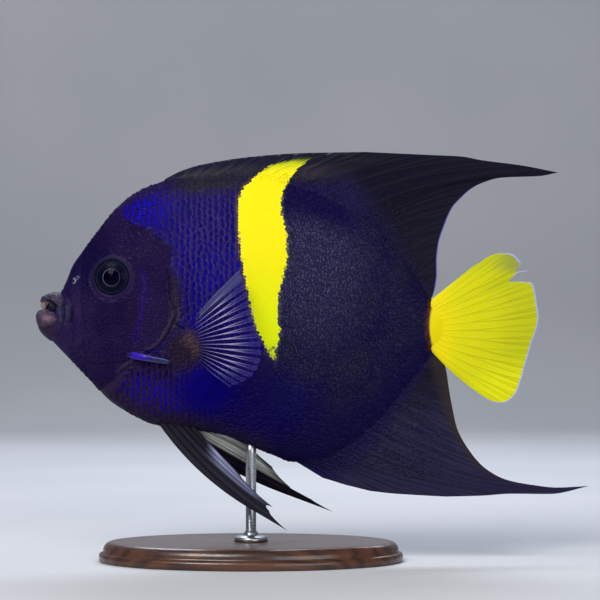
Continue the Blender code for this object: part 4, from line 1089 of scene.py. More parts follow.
def make_skin():
    """The whole skin of head, gill covers, trunk and tail stock, with the head's forms raised."""
    xs = np.concatenate([np.arange(-100.6, -34, 0.5), np.arange(-34, 100.4, 1.25)])
    grid = SKIN.around(xs[:, None], turns(AROUND, -math.pi / 2)[None, :])
    along = np.gradient(grid, xs, axis=0)
    around = np.roll(grid, -1, axis=1) - np.roll(grid, 1, axis=1)
    out = unit(np.cross(around, along))
    side = np.sign(grid[:, :, 1])
    out *= np.where(np.sum(out[:, :, 1] * side) < 0, -1, 1)
    x, z = grid[:, :, 0], grid[:, :, 2]
    grid = grid + out * relief(x, z)[:, :, None]
    front = [xs[0] - 0.3, 0, float(SKIN.girth(xs[0]))]
    rear = [xs[-1] + 0.3, 0, float(SKIN.girth(xs[-1]))]
    skin = closed_rings("skin", grid, front, rear)

    near = np.hypot(x - EYE_CENTRE[0], (z - EYE_CENTRE[1]) / EYE_TALL)
    # A grey ring round the eye, faint all round and painted lighter on its top as painted light from above
    orbit = ring(near, 9.4, 1.4) * (0.1 + 0.9 * ease(z - EYE_CENTRE[1], -6, 9))
    gap, share = beside(x, z, GILL_EDGE)
    # Painted shade: darkening laid into the gill slit, the creases, the mouth's corner and the nostril
    # pits, where shade falls
    slit_shade = edge_fade(share) * ring(gap, 0.75, 0.6) * (0.75 - 0.4 * ease(share, 0.5, 0.8))
    # Painted highlight: a lighter line along the gill cover's rim
    rim = 0.7 * ring(gap, -1.1, 0.7) * ease(share, 0.25, 0.4) * ease(share, 0.85, 0.7)
    # The olive gill membrane's own colour behind the gill opening
    membrane = edge_fade(share) * 0.8 * ring(gap, 2.4, 1.1) * ease(0.85 - share, 0, 0.2)
    for line, depth, width in CREASES:
        slit_shade = np.maximum(slit_shade, depth * along_line(x, z, line, width))
    slit_shade = np.maximum(slit_shade, mound(x, z, MOUTH_CORNER, 3.2))
    glints = np.zeros_like(x)
    for px, pz, radius in NOSTRILS:
        gap = np.hypot(x - px, z - pz)
        slit_shade = np.maximum(slit_shade, np.exp(-(gap / radius) ** 2))
        # Painted glint: the nostrils' raised rims, lit on their rear side
        lit = ease(x - px, -0.6, 0.7) * (radius / 0.75) ** 1.5
        glints = np.maximum(glints, lit * ring(gap, radius + 0.2, 0.3))
    _, grey, dark = corner(x, z)
    note_rings(skin, level=FLESH.level(x, z), orbit=orbit, olive=np.maximum(membrane, rim), grey=grey,
               crevice=np.clip(np.maximum(slit_shade, 0.8 * dark), 0, 1), nostril=glints)
    return skin


# Lips, teeth, eyes and cheek spines

def make_lip(name, jaw, upper):
    """A soft lip with a rolled rim, creases round it and small wrinkles across it."""
    form = Form(jaw["back"], jaw["belly"], jaw["girth"], jaw["breadth"])
    rows, columns = 90, 140
    share = (1 - np.cos(np.linspace(0, math.pi, rows + 2)[1:-1])) / 2
    xs = form.first + share * (form.last - form.first)
    angles = turns(columns, -math.pi / 2)
    grid = form.around(xs[:, None], angles[None, :])
    height = np.sin(angles)[None, :] + 0 * xs[:, None]
    x, z = grid[:, :, 0], grid[:, :, 2]
    wrinkle = np.array([[noise.noise(Vector((px * 0.6, turn * 5.0, 3.0 if upper else 9.0)))
                         for turn in angles] for px in xs])
    if upper:
        rim, _ = beside(x, z, UPPER_LIP_RIM)
        lift = 0.35 * ring(rim, 0.1, 0.4) - 0.6 * ring(rim, 1.05, 0.4) + 0.25 * ring(rim, 2.3, 0.8)
        lip = ease(form.last - x, 0.5, 3.5)
        # Painted shade in the groove behind the rolled rim
        crease = ring(rim, 1.05, 0.42) * ease(x, -102.5, -100.5)
        pink, brown, pale = 0 * x, 0 * x, 0.7 * ring(rim, 0.1, 0.4)
    else:
        round_lip = np.hypot((x - LOWER_LIP[0]) / LOWER_LIP[2], (z - LOWER_LIP[1]) / LOWER_LIP[3])
        lift = 0.45 * (1 - ease(round_lip, 0.4, 1.05)) - 0.3 * ring(round_lip, 1.15, 0.13)
        lift -= 0.35 * ring(height, 0.78, 0.14)
        lip = 1 - ease(round_lip, 0.85, 1.3)
        # Painted shade in the groove round the lower lip
        crease = 0.35 * ring(round_lip, 1.17, 0.12)
        pink, brown = mound(x, z, (-101.2, 120.8), 3.0), mound(x, z, (-100.5, 116.6), 3.0)
        pale = 0.6 * ring(height, 0.85, 0.15)
    fold, grey, dark = corner(x, z)
    # The corner creases' painted shade joins it
    crease = np.maximum(crease, 0.8 * dark)
    lift = (lift + fold + 0.3 * wrinkle) * ease(x, form.first, form.first + 1.2)
    centre = np.stack([x, 0 * x, form.girth(x)], axis=-1)
    grid = grid + unit(grid - centre) * lift[:, :, None]
    front = [form.first, 0, float(form.girth(form.first))]
    rear = [form.last, 0, float(form.girth(form.last))]
    piece = closed_rings(name, grid, front, rear)
    note_rings(piece, (1, 0), lip=lip)
    note_rings(piece, level=FLESH.level(np.maximum(x, -100), z), pink=pink, brown=brown, pale=pale,
               grey=grey, crease=crease)
    return piece


def make_mouth():
    """The inside of the mouth, seen between the lips; its dark colour is painted shade."""
    (x, z), (half_x, half_y, half_z) = MOUTH_LINING
    polar = np.linspace(0, math.pi, 22)[1:-1, None]
    bearing = turns(32)[None, :]
    rings = np.stack([x + half_x * np.cos(polar) + 0 * bearing, half_y * np.sin(polar) * np.cos(bearing),
                      z + half_z * np.sin(polar) * np.sin(bearing)], axis=-1)
    return closed_rings("mouth_lining", rings, [x + half_x, 0, z], [x - half_x, 0, z])


def eye_direction(side):
    """Outward direction of an eye: mostly sideways, partly along the surface's own normal."""
    x, z = EYE_CENTRE
    step = 0.5
    along = (FLESH.half_breadth(x + step, z) - FLESH.half_breadth(x - step, z)) / (2 * step)
    up = (FLESH.half_breadth(x, z + step) - FLESH.half_breadth(x, z - step)) / (2 * step)
    left = Vector((-along, -1, -up)).normalized()
    out = (left + Vector((0, -1, 0)) * 0.6).normalized()
    return Vector((out.x, out.y * -side, out.z))


def make_eye(word, side):
    """A flattened ball with a bulging pupil and a ridged iris, set in its orbit."""
    rows, columns = 96, 96
    polar = np.linspace(0, math.pi, rows + 2)[1:-1]
    bearing = turns(columns)
    out = EYE_RADIUS * np.sin(polar)
    height = EYE_DEPTH * np.cos(polar)
    facing = polar < math.pi / 2
    height += facing * (0.3 * (1 - ease(out, 0, PUPIL_RADIUS)) - 0.22 * ring(out, 4.55, 0.35)
                        + 0.12 * ring(out, 5.4, 0.5) + 0.1 * ring(out, 7.0, 0.5))
    x, z = EYE_CENTRE
    surface = Vector((x, side * float(FLESH.half_breadth(x, z)), z))
    aim = eye_direction(side)
    centre = surface + aim * (EYE_STAND_OUT - EYE_DEPTH)
    turn = np.array(Vector((0, 0, 1)).rotation_difference(aim).to_matrix())
    local = np.stack([out[:, None] * np.cos(bearing), out[:, None] * np.sin(bearing),
                      height[:, None] + 0 * bearing], axis=-1)
    rings = local @ turn.T + np.array(centre)
    poles = [np.array(centre) + turn @ np.array([0, 0, top]) for top in (EYE_DEPTH + 0.3, -EYE_DEPTH)]
    eye = closed_rings("eye_" + word + "_ball", rings, *poles)
    radius = np.where(facing, out, 20 - out)
    note_rings(eye, (0, 20), radius=np.repeat(radius, columns))
    # Share of painted highlight on the pale pupil ring: more on the eye's front side
    note_rings(eye, front=0.25 + 0.75 * ease(EYE_CENTRE[0] - rings[:, :, 0], -4, 4))
    return eye


def make_tube(name, centres, radii, sides=24, flat=1.0):
    """A round or flattened tapering form along points in space."""
    centres = np.asarray(centres, float)
    ahead = unit(np.gradient(centres, axis=0))
    up = unit(np.cross(ahead, [0.0, 1.0, 0.0]))
    other = np.cross(ahead, up)
    angles = turns(sides)
    rings = (centres[:, None] + np.asarray(radii)[:, None, None]
             * (up[:, None] * np.cos(angles)[None, :, None]
                + other[:, None] * np.sin(angles)[None, :, None] * flat))
    tube = closed_rings(name, rings, centres[0] - ahead[0] * radii[0] * 0.3,
                        centres[-1] + ahead[-1] * radii[-1] * 0.6)
    note_rings(tube, (0, 1), along=np.repeat(np.linspace(0, 1, len(centres)), sides))
    note_rings(tube, rim=np.tile(np.abs(np.cos(angles)), len(centres)))
    return tube


def make_cheek_spine(word, side):
    """The long spine at the lower corner of the cheek, standing off the skin towards its tip."""
    t = np.linspace(0, 1, 48)
    places = path(CHEEK_SPINE)(t)
    stand_off = 2.6 * ease(t, -0.1, 0.5) - 0.7 * ease(t, 0.5, 1.0) - 0.5
    y = side * (FLESH.half_breadth(places[:, 0], places[:, 1]) + stand_off)
    centres = np.stack([places[:, 0], y, places[:, 1]], axis=1)
    swell = 0.8 + 0.25 * np.sin(math.pi * np.minimum(1.0, t * 1.6))
    radii = CHEEK_SPINE_RADIUS * (1 - 0.22 * t) * np.sqrt(1 - t ** 16) * swell + 0.05
    return make_tube("cheek_spine_" + word + "_bone", centres, radii, flat=0.8)


# Fins

class Fin:
    """Rays from roots to tips with a thinner web between them, as one closed ridged plate."""

    def __init__(self, roots, tips, rays, halves, bends=(), *, notch, bow=(0.0, 0.0), web=0.5,
                 split=0.2, steps=12, spines=0, centre=None, fillet=None, thin_edges=0.0):
        self.root, self.tip, self.rays = by_ray(roots), by_ray(tips), rays
        self.own_bend = by_ray(bends) if bends else None
        self.first_bend = bends[0][0] if bends else rays
        self.bow, self.notch = bow, notch
        self.halves, self.web, self.split, self.steps, self.spines = halves, web, split, steps, spines
        self.centre = centre or (lambda x, z, ray, along: drift(x))
        self.fillet, self.thin_edges = fillet, thin_edges

    def bend(self, ray):
        """Middle points of the rays' curves."""
        root, tip = self.root(ray), self.tip(ray)
        across = np.stack([root[..., 1] - tip[..., 1], tip[..., 0] - root[..., 0]], axis=-1)
        middle = (root + tip) / 2 + across * (self.bow[0] + self.bow[1] * ray)[..., None]
        if self.own_bend is None:
            return middle
        share = np.clip(ray - self.first_bend + 1, 0, 1)[..., None]
        return middle * (1 - share) + self.own_bend(np.maximum(ray, self.first_bend)) * share

    def grid(self, rows):
        """Ray numbers, shares along, lengths and (x, z) places of the whole fin."""
        ray = np.linspace(0, self.rays - 1, (self.rays - 1) * self.steps + 1)
        root, bend, tip = self.root(ray), self.bend(ray), self.tip(ray)
        length = np.linalg.norm(tip - root, axis=1)
        between = ray % 1
        dip = self.notch(ray) / length * 4 * between * (1 - between)
        level = 1 - (1 - np.linspace(0, 1, rows)) ** 1.3
        a = (level[:, None] * (1 - dip)[None, :])[..., None]
        place = root * (1 - a) ** 2 + bend * 2 * a * (1 - a) + tip * a * a
        ray, length, level = np.broadcast_arrays(ray, length, level[:, None])
        return ray, level, length, place

    def make(self, name, rows):
        ray, along, length, place = self.grid(rows)
        x, z = place[:, :, 0], place[:, :, 1]
        near = np.abs(ray - np.round(ray))
        spread = np.where(ray >= self.spines, self.split * ease(along, 0.3, 0.85), 0)
        ridge = ring(np.abs(near - spread), 0, 0.11)
        fade = along ** 0.6
        thick = self.halves[0] * (1 - fade) + self.halves[1] * fade
        thick = thick * (1 - self.thin_edges * np.abs(2 * ray / (self.rays - 1) - 1) ** 5)
        to_edge = (1 - along) * length
        thick = thick * (self.web + (1 - self.web) * ridge) * (0.45 + 0.55 * ease(to_edge, 0, 1.2))
        thick = np.maximum(thick, 0.13)
        if self.fillet:
            thick = thick + self.fillet(x, z, ray)
        middle = self.centre(x, z, ray, along)
        piece = closed_plate(name, *(np.stack([x, middle + side * thick, z], axis=-1) for side in (-1, 1)))
        self.keep(piece, ray=ray, along=along, level=fin_level(x, z))
        self.to_edge, self.place_grid, self.ray_grid, self.along_grid = to_edge, place, ray, along
        return piece

    @staticmethod
    def keep(piece, **values):
        for name, numbers in values.items():
            note(piece, name, np.tile(np.ravel(numbers), 2))


def fillet(outline, first_rays, front=1.0):
    """Extra half thickness where a middle fin rises from the body, so that no hard edge shows."""
    def extra(x, z, ray):
        gap, _ = beside(x, z, outline, 220)
        outside = np.abs(FLESH.level(np.minimum(x, LAST_FLESH - 0.5), z)) > 1
        gap = np.where(outside, 1, -1) * np.abs(gap)
        share = ease(ray, 0, first_rays) * (front + (1 - front) * ease(ray, 8, 14))
        return 0.2 * share * FLESH.breadth(x) * np.exp(-np.maximum(gap + 4, 0) / 4.5)
    return extra


def make_dorsal():
    """The dorsal fin of spines and long trailing soft rays."""
    fin = Fin(DORSAL_ROOTS, DORSAL_TIPS, DORSAL_RAYS, (1.2, 0.42), DORSAL_BENDS, spines=DORSAL_SPINES,
              notch=lambda ray: 0.35 * ease(DORSAL_SPINES - ray, 1, 6),
              fillet=fillet(BACK[6:], 4.0, 0.78), web=0.8)
    piece = fin.make("dorsal_fin", 60)
    rear = ease(fin.ray_grid, 20.5, 22.5)
    fin.brown = 0 * rear
    fin.keep(piece, margin=rear * (1 - ease(fin.to_edge, 0.35, 0.8)), brown=fin.brown,
             front=ease(6 - fin.ray_grid, 0, 2.5))
    return piece, fin


def make_anal():
    """The anal fin, its tip drawn out to the rear."""
    fin = Fin(ANAL_ROOTS, ANAL_TIPS, ANAL_RAYS, (1.2, 0.42), ANAL_BENDS, spines=ANAL_SPINES,
              notch=lambda ray: 0.5 * ease(ANAL_SPINES - ray, 0, 1),
              fillet=fillet(BELLY[9:], 2.0), web=0.8)
    piece = fin.make("anal_fin", 60)
    rear = ease(fin.ray_grid, 10.0, 13.0)
    fin.brown = rear * (1 - ease(fin.to_edge, 1, 12)) * 0.9
    fin.keep(piece, margin=0 * rear, brown=fin.brown, front=0 * rear)
    return piece, fin


def make_tail():
    """The tail fin, with a notch torn in its upper edge."""
    fin = Fin(TAIL_ROOTS, TAIL_TIPS, TAIL_RAYS, (3.2, 0.34), bow=(0.0, -0.07 / TAIL_RAYS), steps=16,
              web=0.93, notch=lambda ray: 0 * ray, thin_edges=0.55)
    piece = fin.make("tail_fin", 60)
    torn = ring(fin.ray_grid, 5.0, 0.9)
    fin.keep(piece, margin=(1 - ease(fin.to_edge, 0.35, 1.1)) * (1 - torn) * ease(fin.ray_grid, 1.8, 3.2))
    return piece, fin


def make_pectoral(word, side):
    """A breast fin, cupped and splayed from the flank."""
    surface = float(FLESH.half_breadth(*PECTORAL_MIDDLE))
    slope = math.tan(math.radians(PECTORAL_SPLAY))

    def centre(x, z, ray, along):
        cup = 1.6 * np.sin(math.pi * ray / (PECTORAL_RAYS - 1)) * along
        return side * (surface - 1.0 + slope * (x - PECTORAL_MIDDLE[0]) + cup)

    fin = Fin(PECTORAL_ROOTS, PECTORAL_TIPS, PECTORAL_RAYS, (1.5, 0.24), bow=(0.03, -0.06 / PECTORAL_RAYS),
              centre=centre, steps=16, web=0.45, split=0.17, notch=lambda ray: 0.5 + 0 * ray)
    piece = fin.make("pectoral_fin_" + word + "_fan", 48)
    fin.keep(piece, thick=0.75 * (1 - ease(fin.ray_grid, 0.6, 2.2)))
    return piece


def make_pelvic(word, side):
    """A pelvic fin with a long first ray, deep notches between its rays and pale webs."""
    root = by_ray(PELVIC_ROOTS)
    slope = math.tan(math.radians(PELVIC_SPLAY[word]))

    def centre(x, z, ray, along):
        start = root(ray)
        return side * (3.0 + slope * np.hypot(x - start[..., 0], z - start[..., 1]))

    fin = Fin(PELVIC_ROOTS, PELVIC_TIPS[word], PELVIC_RAYS, (1.4, 0.3), bow=PELVIC_BOW[word],
              notch=lambda ray: np.where(ray < 1, 0.4, 3.0), centre=centre, steps=26, web=0.75,
              split=0.14, spines=1)
    piece = fin.make("pelvic_fin_" + word + "_web", 64)
    ray, along = fin.ray_grid, fin.along_grid
    first, start = (2.2, 0.3) if side < 0 else (2.1, 0.05)
    pale = ease(ray, first, first + 1.0) * ease(along, start, start + 0.25)
    fin.keep(piece, pale=pale * (1 - 0.7 * ease(along, 0.82, 0.95)))
    # Painted light: the right fin's left-facing face is painted near white for light shining through it,
    # its other face only a little
    lit = 1.0 if side > 0 else 0.0
    note(piece, "far", np.repeat([lit, 0.15 * lit], ray.size))
    return piece


def make_loose_ray():
    """The bare ray end above the notch of the tail fin."""
    sides = 12
    t = np.linspace(0, 1, 30)
    places = path(LOOSE_RAY)(t)
    centres = np.stack([places[:, 0], drift(places[:, 0]), places[:, 1]], axis=1)
    tube = make_tube("tail_loose_ray", centres, 0.42 * (1 - 0.55 * t), sides)
    note(tube, "ray", np.zeros(len(tube.data.vertices)))
    note_rings(tube, (0, 0.7), margin=np.repeat(0.7 * ease(t, 0.3, 1), sides))
    return tube


# Scales

def scale_tree():
    """Sets one small closed scale on each point, lying along the fish, with its baking map."""
    n, given, out = new_group("lay_scales", [("Points", "Geometry"), ("Sides", "Int"), ("Rings", "Int"),
                                             ("Tilt", "Float"), ("Rounded", "Bool"),
                                             ("Finish", "Material")],
                              [("Scales", "Geometry")], "GeometryNodeTree")
    ball = n.add("GeometryNodeMeshUVSphere", {"Segments": given["Sides"], "Rings": given["Rings"],
                                              "Radius": 1.0})
    leaf = n.add("GeometryNodeStoreNamedAttribute",
                 {"Geometry": ball.outputs["Mesh"], "Name": "leaf",
                  "Value": n.add("GeometryNodeInputPosition").outputs[0]},
                 data_type="FLOAT_VECTOR", domain="POINT")
    facing = n.add("FunctionNodeAxesToRotation", [n.named("out"), n.named("lie")],
                   primary_axis="Z", secondary_axis="X")
    tilt = n.add("FunctionNodeAxisAngleToRotation", {"Axis": (0.0, -1.0, 0.0), "Angle": given["Tilt"]})
    turned = n.add("FunctionNodeRotateRotation", [facing.outputs[0], tilt.outputs[0]],
                   rotation_space="LOCAL")
    laid = n.add("GeometryNodeInstanceOnPoints",
                 {"Points": given["Points"], "Instance": leaf.outputs[0],
                  "Rotation": turned.outputs[0], "Scale": n.named("size")})
    real = n.add("GeometryNodeRealizeInstances", [laid.outputs[0]])
    patch = n.vector("ADD", n.named("patch"), n.vector("SCALE", n.named("leaf"), scale=0.0014))
    mapped = n.add("GeometryNodeStoreNamedAttribute",
                   {"Geometry": real.outputs[0], "Name": "OFBake", "Value": patch},
                   data_type="FLOAT2", domain="CORNER")
    even = n.add("GeometryNodeSetShadeSmooth", {"Geometry": mapped.outputs[0],
                                                "Shade Smooth": given["Rounded"]})
    done = n.add("GeometryNodeSetMaterial", {"Geometry": even.outputs[0], "Material": given["Finish"]})
    n.put(out["Scales"], done.outputs[0])
    return n.tree


def lay_scales(name, tree, points, sides, rings, tilt, material, broad=0.0):
    """Runs the scale tree on points and keeps the result as a plain mesh."""
    count = len(points["root"])
    holder = new_piece(name, points["root"], [])
    note(holder, "root", points["root"] * MM, "FLOAT_VECTOR")
    note(holder, "size", points["size"] * MM, "FLOAT_VECTOR")
    for key in ("out", "lie", "patch"):
        note(holder, key, points[key], "FLOAT_VECTOR")
    note(holder, "level", points["level"])
    note(holder, "tone", np.random.default_rng(7).random(count))
    note(holder, "broad", np.full(count, broad))
    for key in ("ray", "along", "brown", "front"):
        if key in points:
            note(holder, key, points[key])
    modifier = holder.modifiers.new("scales", "NODES")
    modifier.node_group = tree
    values = {"Sides": sides, "Rings": rings, "Tilt": tilt, "Rounded": tilt > 0.02, "Finish": material}
    for item in tree.interface.items_tree:
        if item.item_type == "SOCKET" and item.in_out == "INPUT" and item.name in values:
            modifier[item.identifier] = values[item.name]
    bpy.context.view_layer.update()
    graph = bpy.context.evaluated_depsgraph_get()
    mesh = bpy.data.meshes.new_from_object(holder.evaluated_get(graph), depsgraph=graph)
    mesh.name = name
    holder.modifiers.clear()
    holder.data = mesh
    return holder


def surface_tree(piece):
    """A piece's surface in millimetres, for finding points on it."""
    mesh = piece.data
    points = [v.co / MM for v in mesh.vertices]
    return BVHTree.FromPolygons(points, [p.vertices[:] for p in mesh.polygons])


ARC_TURNS = np.linspace(-math.pi / 2, math.pi / 2, 240)


def arc_table(x):
    """Lengths round the left half of a section, measured from its girth."""
    places = SKIN.around(np.full_like(ARC_TURNS, x), ARC_TURNS)
    steps = np.linalg.norm(np.diff(places, axis=0), axis=1)
    length = np.concatenate([[0], np.cumsum(steps)])
    return length - np.interp(0.0, ARC_TURNS, length)


def lattice(first, last, pitch_x, pitch_t, seed, loose=0.06):
    """Staggered places on the body as (x, arc from the girth, angle), a little uneven."""
    rng = np.random.default_rng(seed)
    found = []
    for k, x in enumerate(np.arange(first, last, pitch_x)):
        arcs = arc_table(x)
        start = arcs[0] + pitch_t * 0.2
        base = math.ceil(start / pitch_t) * pitch_t
        levels = np.arange(base, arcs[-1], pitch_t) + (0.5 * pitch_t if k % 2 else 0)
        levels = levels[levels < arcs[-1] - 0.1]
        jitter = rng.normal(0, loose, (len(levels), 2))
        turns = np.interp(levels + jitter[:, 1] * pitch_t, arcs, ARC_TURNS)
        for level, turn, shift in zip(levels, turns, jitter[:, 0]):
            found.append((x + shift * pitch_x, level, turn))
    return np.array(found)


def on_head(x, z):
    """In front of the nape's edge and the gill opening."""
    return x < line_at(z, NAPE_EDGE)


def on_shoulder(x, z):
    """Between the head and the yellow band's fringe, and above the belly's finer scales."""
    edge = line_at(z, BAND_FRONT)
    return ~on_head(x, z) & (x < edge - 2.4 - 0.9 * np.maximum(0, 104 - z))


def axil(x, z):
    """In the smooth finely scaled place round the pectoral fin's root and behind the gill."""
    near = np.hypot((x + 33) / 9.5, (z - 107) / 13.5)
    gap, share = beside(x, z, GILL_EDGE)
    return (near < 1) | ((gap > 0) & (gap < 4.0) & (share > 0.12) & (share < 0.95))


def body_scales(surface, side, where, places, size, loose, cover=()):
    """Roots, directions and sizes of the scales of one region on one side."""
    rng = np.random.default_rng(11)
    flat = SKIN.around(places[:, 0], places[:, 2])
    flat[:, 1] *= -side
    keep = where(flat[:, 0], flat[:, 2])
    flat, places = flat[keep], places[keep]
    roots, outs = np.zeros_like(flat), np.zeros_like(flat)
    for k, place in enumerate(flat):
        hit, normal, _, _ = surface.find_nearest(Vector(place))
        roots[k], outs[k] = hit, normal
    bare_too = np.ones(len(roots), bool)
    for k in np.nonzero(np.abs(FLESH.level(roots[:, 0], roots[:, 2])) > 0.8)[0]:
        x, y, z = roots[k]
        for fin in cover:
            hit = fin.ray_cast(Vector((x, side * 40, z)), Vector((0, -side, 0)))[0]
            if hit is not None and abs(hit.y) > abs(y) + 0.4:
                bare_too[k] = False
    roots, outs, places = roots[bare_too], outs[bare_too], places[bare_too]
    x, z = roots[:, 0], roots[:, 2]
    level = FLESH.level(x, z)
    step = 1.0
    back_slope = (FLESH.back(x + step) - FLESH.back(x - step)) / (2 * step)
    belly_slope = (FLESH.belly(x + step) - FLESH.belly(x - step)) / (2 * step)
    slope = np.where(level > 0, back_slope * level, -belly_slope * level)
    rear = ease(x, 0, 40)
    slope = slope * (1 - rear) * 0.6 + rear * 0.75 * level * np.abs(level)
    slope += rng.normal(0, loose, len(x))
    lie = np.stack([np.ones_like(x), 0 * x, slope], axis=1)
    lie = unit(lie - outs * np.sum(lie * outs, axis=1, keepdims=True))
    sizes = np.array(size(x, z)).T * rng.normal(1, 0.8 * loose, (len(x), 1))
    arcs = places[:, 1]
    patch = np.stack([0.02 + (x + 101) / 200 * 0.96, (0.25 if side < 0 else 0.75) + arcs / 330,
                      0 * x], axis=1)
    roots = roots + outs * 0.1
    return {"root": roots, "out": outs, "lie": lie, "size": sizes, "patch": patch, "level": level}


def fin_scales(surface, body, fin, side, pitch, reach, seed):
    """Scales of a middle fin's thick base, laid along its rays."""
    rng = np.random.default_rng(seed)
    place, ray, along = fin.place_grid, fin.ray_grid, fin.along_grid
    x0, z0 = place[:, :, 0].min(), place[:, :, 1].min()
    cells = {}
    step = 1.0
    for r in range(place.shape[0]):
        for c in range(0, place.shape[1], 2):
            px, pz = place[r, c]
            cells.setdefault((int((px - x0) / step), int((pz - z0) / step)), (r, c))
    roots, outs, lies, sizes, patches, cell_of = [], [], [], [], [], []
    columns = np.arange(x0, place[:, :, 0].max(), pitch * 0.87)
    for k, x in enumerate(columns):
        for z in np.arange(z0, place[:, :, 1].max(), pitch) + (pitch / 2 if k % 2 else 0):
            cell = cells.get((int((x - x0) / step), int((z - z0) / step)))
            if cell is None:
                continue
            r, c = cell
            limit = np.interp(ray[r, c], *reach) + rng.normal(0, 0.06)
            if along[r, c] > limit:
                continue
            px, pz = x + rng.normal(0, 0.12) * pitch, z + rng.normal(0, 0.12) * pitch
            hit, normal, _, _ = surface.ray_cast(Vector((px, side * 40, pz)), Vector((0, -side, 0)))
            if hit is None:
                continue
            under = body.ray_cast(Vector((px, side * 40, pz)), Vector((0, -side, 0)))[0]
            if under is not None and abs(under.y) > abs(hit.y) + 0.3:
                continue
            ahead = place[min(r + 1, len(place) - 1), c] - place[max(r - 1, 0), c]
            lie = np.array([ahead[0], 0, ahead[1]])
            normal = unit(np.array(normal) * 0.7 + np.array([0, side, 0]) * 0.3)
            lie -= normal * (lie @ normal)
            small = 1 - 0.35 * max(0.0, along[r, c] / max(limit, 0.01)) ** 2
            roots.append(np.array(hit) + normal * 0.04)
            outs.append(normal)
            lies.append(unit(lie))
            small *= rng.normal(1, 0.08)
            sizes.append(np.array([pitch * 0.78, pitch * 0.66, 0.08]) * small)
            patches.append([0.02 + 0.96 * ray[r, c] / fin.rays,
                            (0.02 if side < 0 else 0.52) + 0.46 * along[r, c], 0])
            cell_of.append((r, c))
    roots, (r, c) = np.array(roots), np.array(cell_of).T
    front = ease(6 - ray[r, c], 0, 2.5) if fin.rays == DORSAL_RAYS else np.zeros(len(r))
    return {"root": roots, "out": np.array(outs), "lie": np.array(lies), "size": np.array(sizes),
            "patch": np.array(patches), "level": fin_level(roots[:, 0], roots[:, 2]),
            "ray": ray[r, c], "along": along[r, c], "brown": fin.brown[r, c], "front": front}


def bare(x, z):
    """Places of the head that carry no scales: round the eye, the snout and the chin."""
    near_eye = np.hypot(x - EYE_CENTRE[0], z - EYE_CENTRE[1]) < 11.8
    snout = (x < -84.5) & (z > 108)
    chin = x < -91
    return near_eye | snout | chin


def make_scales(skin, dorsal, anal, material, fin_material):
    """All scales, in pieces by region and side."""
    tree = scale_tree()
    body = surface_tree(skin)
    covers = [surface_tree(dorsal[0]), surface_tree(anal[0])]
    large = lattice(-70, 16, 2.75, 3.5, 1, 0.1)
    small = lattice(-62, 95, 1.3, 1.7, 2, 0.28)
    even = lattice(-12, 48, 1.3, 1.6, 4, 0.06)
    head = lattice(-96, -28, 1.1, 1.3, 3, 0.16)

    def large_size(x, z):
        shrink = 1 - 0.3 * ease(np.abs(FLESH.level(x, z)), 0.75, 1.0)
        gap, _ = beside(x, z, NAPE_EDGE)
        shrink = shrink * (0.7 + 0.3 * ease(np.abs(gap), 0, 5))
        gap, _ = beside(x, z, BAND_FRONT)
        shrink = shrink * (0.72 + 0.28 * ease(np.abs(gap), 1, 4.5))
        return 2.5 * shrink, 2.35 * shrink, 0.11 * shrink

    def small_size(x, z):
        shrink = 1 - 0.2 * ease(np.abs(FLESH.level(x, z)), 0.7, 1.0)
        return 1.15 * shrink, 0.98 * shrink, 0.12 * shrink

    def band_size(x, z):
        return 1.1 + 0 * x, 0.95 + 0 * x, 0.03 + 0 * x

    def head_size(x, z):
        shrink = 0.7 + 0.3 * ease(x, -90, -70)
        return 0.92 * shrink, 0.74 * shrink, 0.07 * shrink

    def ridge(x, z):
        return np.abs(FLESH.level(x, z)) > 0.93

    def nape_area(x, z):
        return on_shoulder(x, z) & ~axil(x, z) & ~ridge(x, z)

    def behind(x, z):
        return ~on_head(x, z) & ~on_shoulder(x, z)

    def band_area(x, z):
        return behind(x, z) & (x < line_at(z, BAND_REAR) - 0.3) & (z > 101)

    def flank_area(x, z):
        before_tail = x - TAIL_CURVE * (z - TAIL_LEVEL) ** 2 < 88.0
        crease, _ = beside(x, z, SHOULDER_CREASE)
        fine = (axil(x, z) & ~on_head(x, z)) | (on_shoulder(x, z) & ridge(x, z))
        return ((behind(x, z) & ~band_area(x, z) & before_tail) | fine) & (np.abs(crease) > 0.7)

    def head_area(x, z):
        line, share = beside(x, z, PREOPERCLE)
        line = (np.abs(line) < 0.4) & (share > 0.06) & (share < 0.96)
        gill, share = beside(x, z, GILL_EDGE)
        line = line | ((gill > -2.1) & (share > 0.3) & (share < 0.8))
        floor, share = beside(x, z, CHEEK_FLOOR)
        floor = (np.abs(floor) < 0.8) & (share > 0.03) & (share < 0.95)
        return on_head(x, z) & ~bare(x, z) & ~line & ~floor

    for word, side in SIDES.items():
        regions = [("nape", nape_area, large, large_size, 0.13, 14, 6, 0.055, 1.0),
                   ("flank", flank_area, small, small_size, 0.13, 7, 3, 0.07, 0.0),
                   ("band", band_area, even, band_size, 0.02, 7, 3, 0.015, 0.0),
                   ("head", head_area, head, head_size, 0.1, 7, 3, 0.07, 0.6)]
        for region, where, places, size, loose, sides, rings, tilt, broad in regions:
            points = body_scales(body, side, where, places, size, loose, covers)
            piece = lay_scales(f"scales_{region}_{word}", tree, points, sides, rings, tilt, material, broad)
            finish(piece, material, "skin")
        for (region, reach), (_, fin), surface in zip(FIN_SCALES.items(), (dorsal, anal), covers):
            points = fin_scales(surface, body, fin, side, 1.3, reach, 5)
            piece = lay_scales(f"scales_{region}_{word}", tree, points, 7, 3, 0.06, fin_material)
            finish(piece, fin_material, "dark_fin")
    return tree


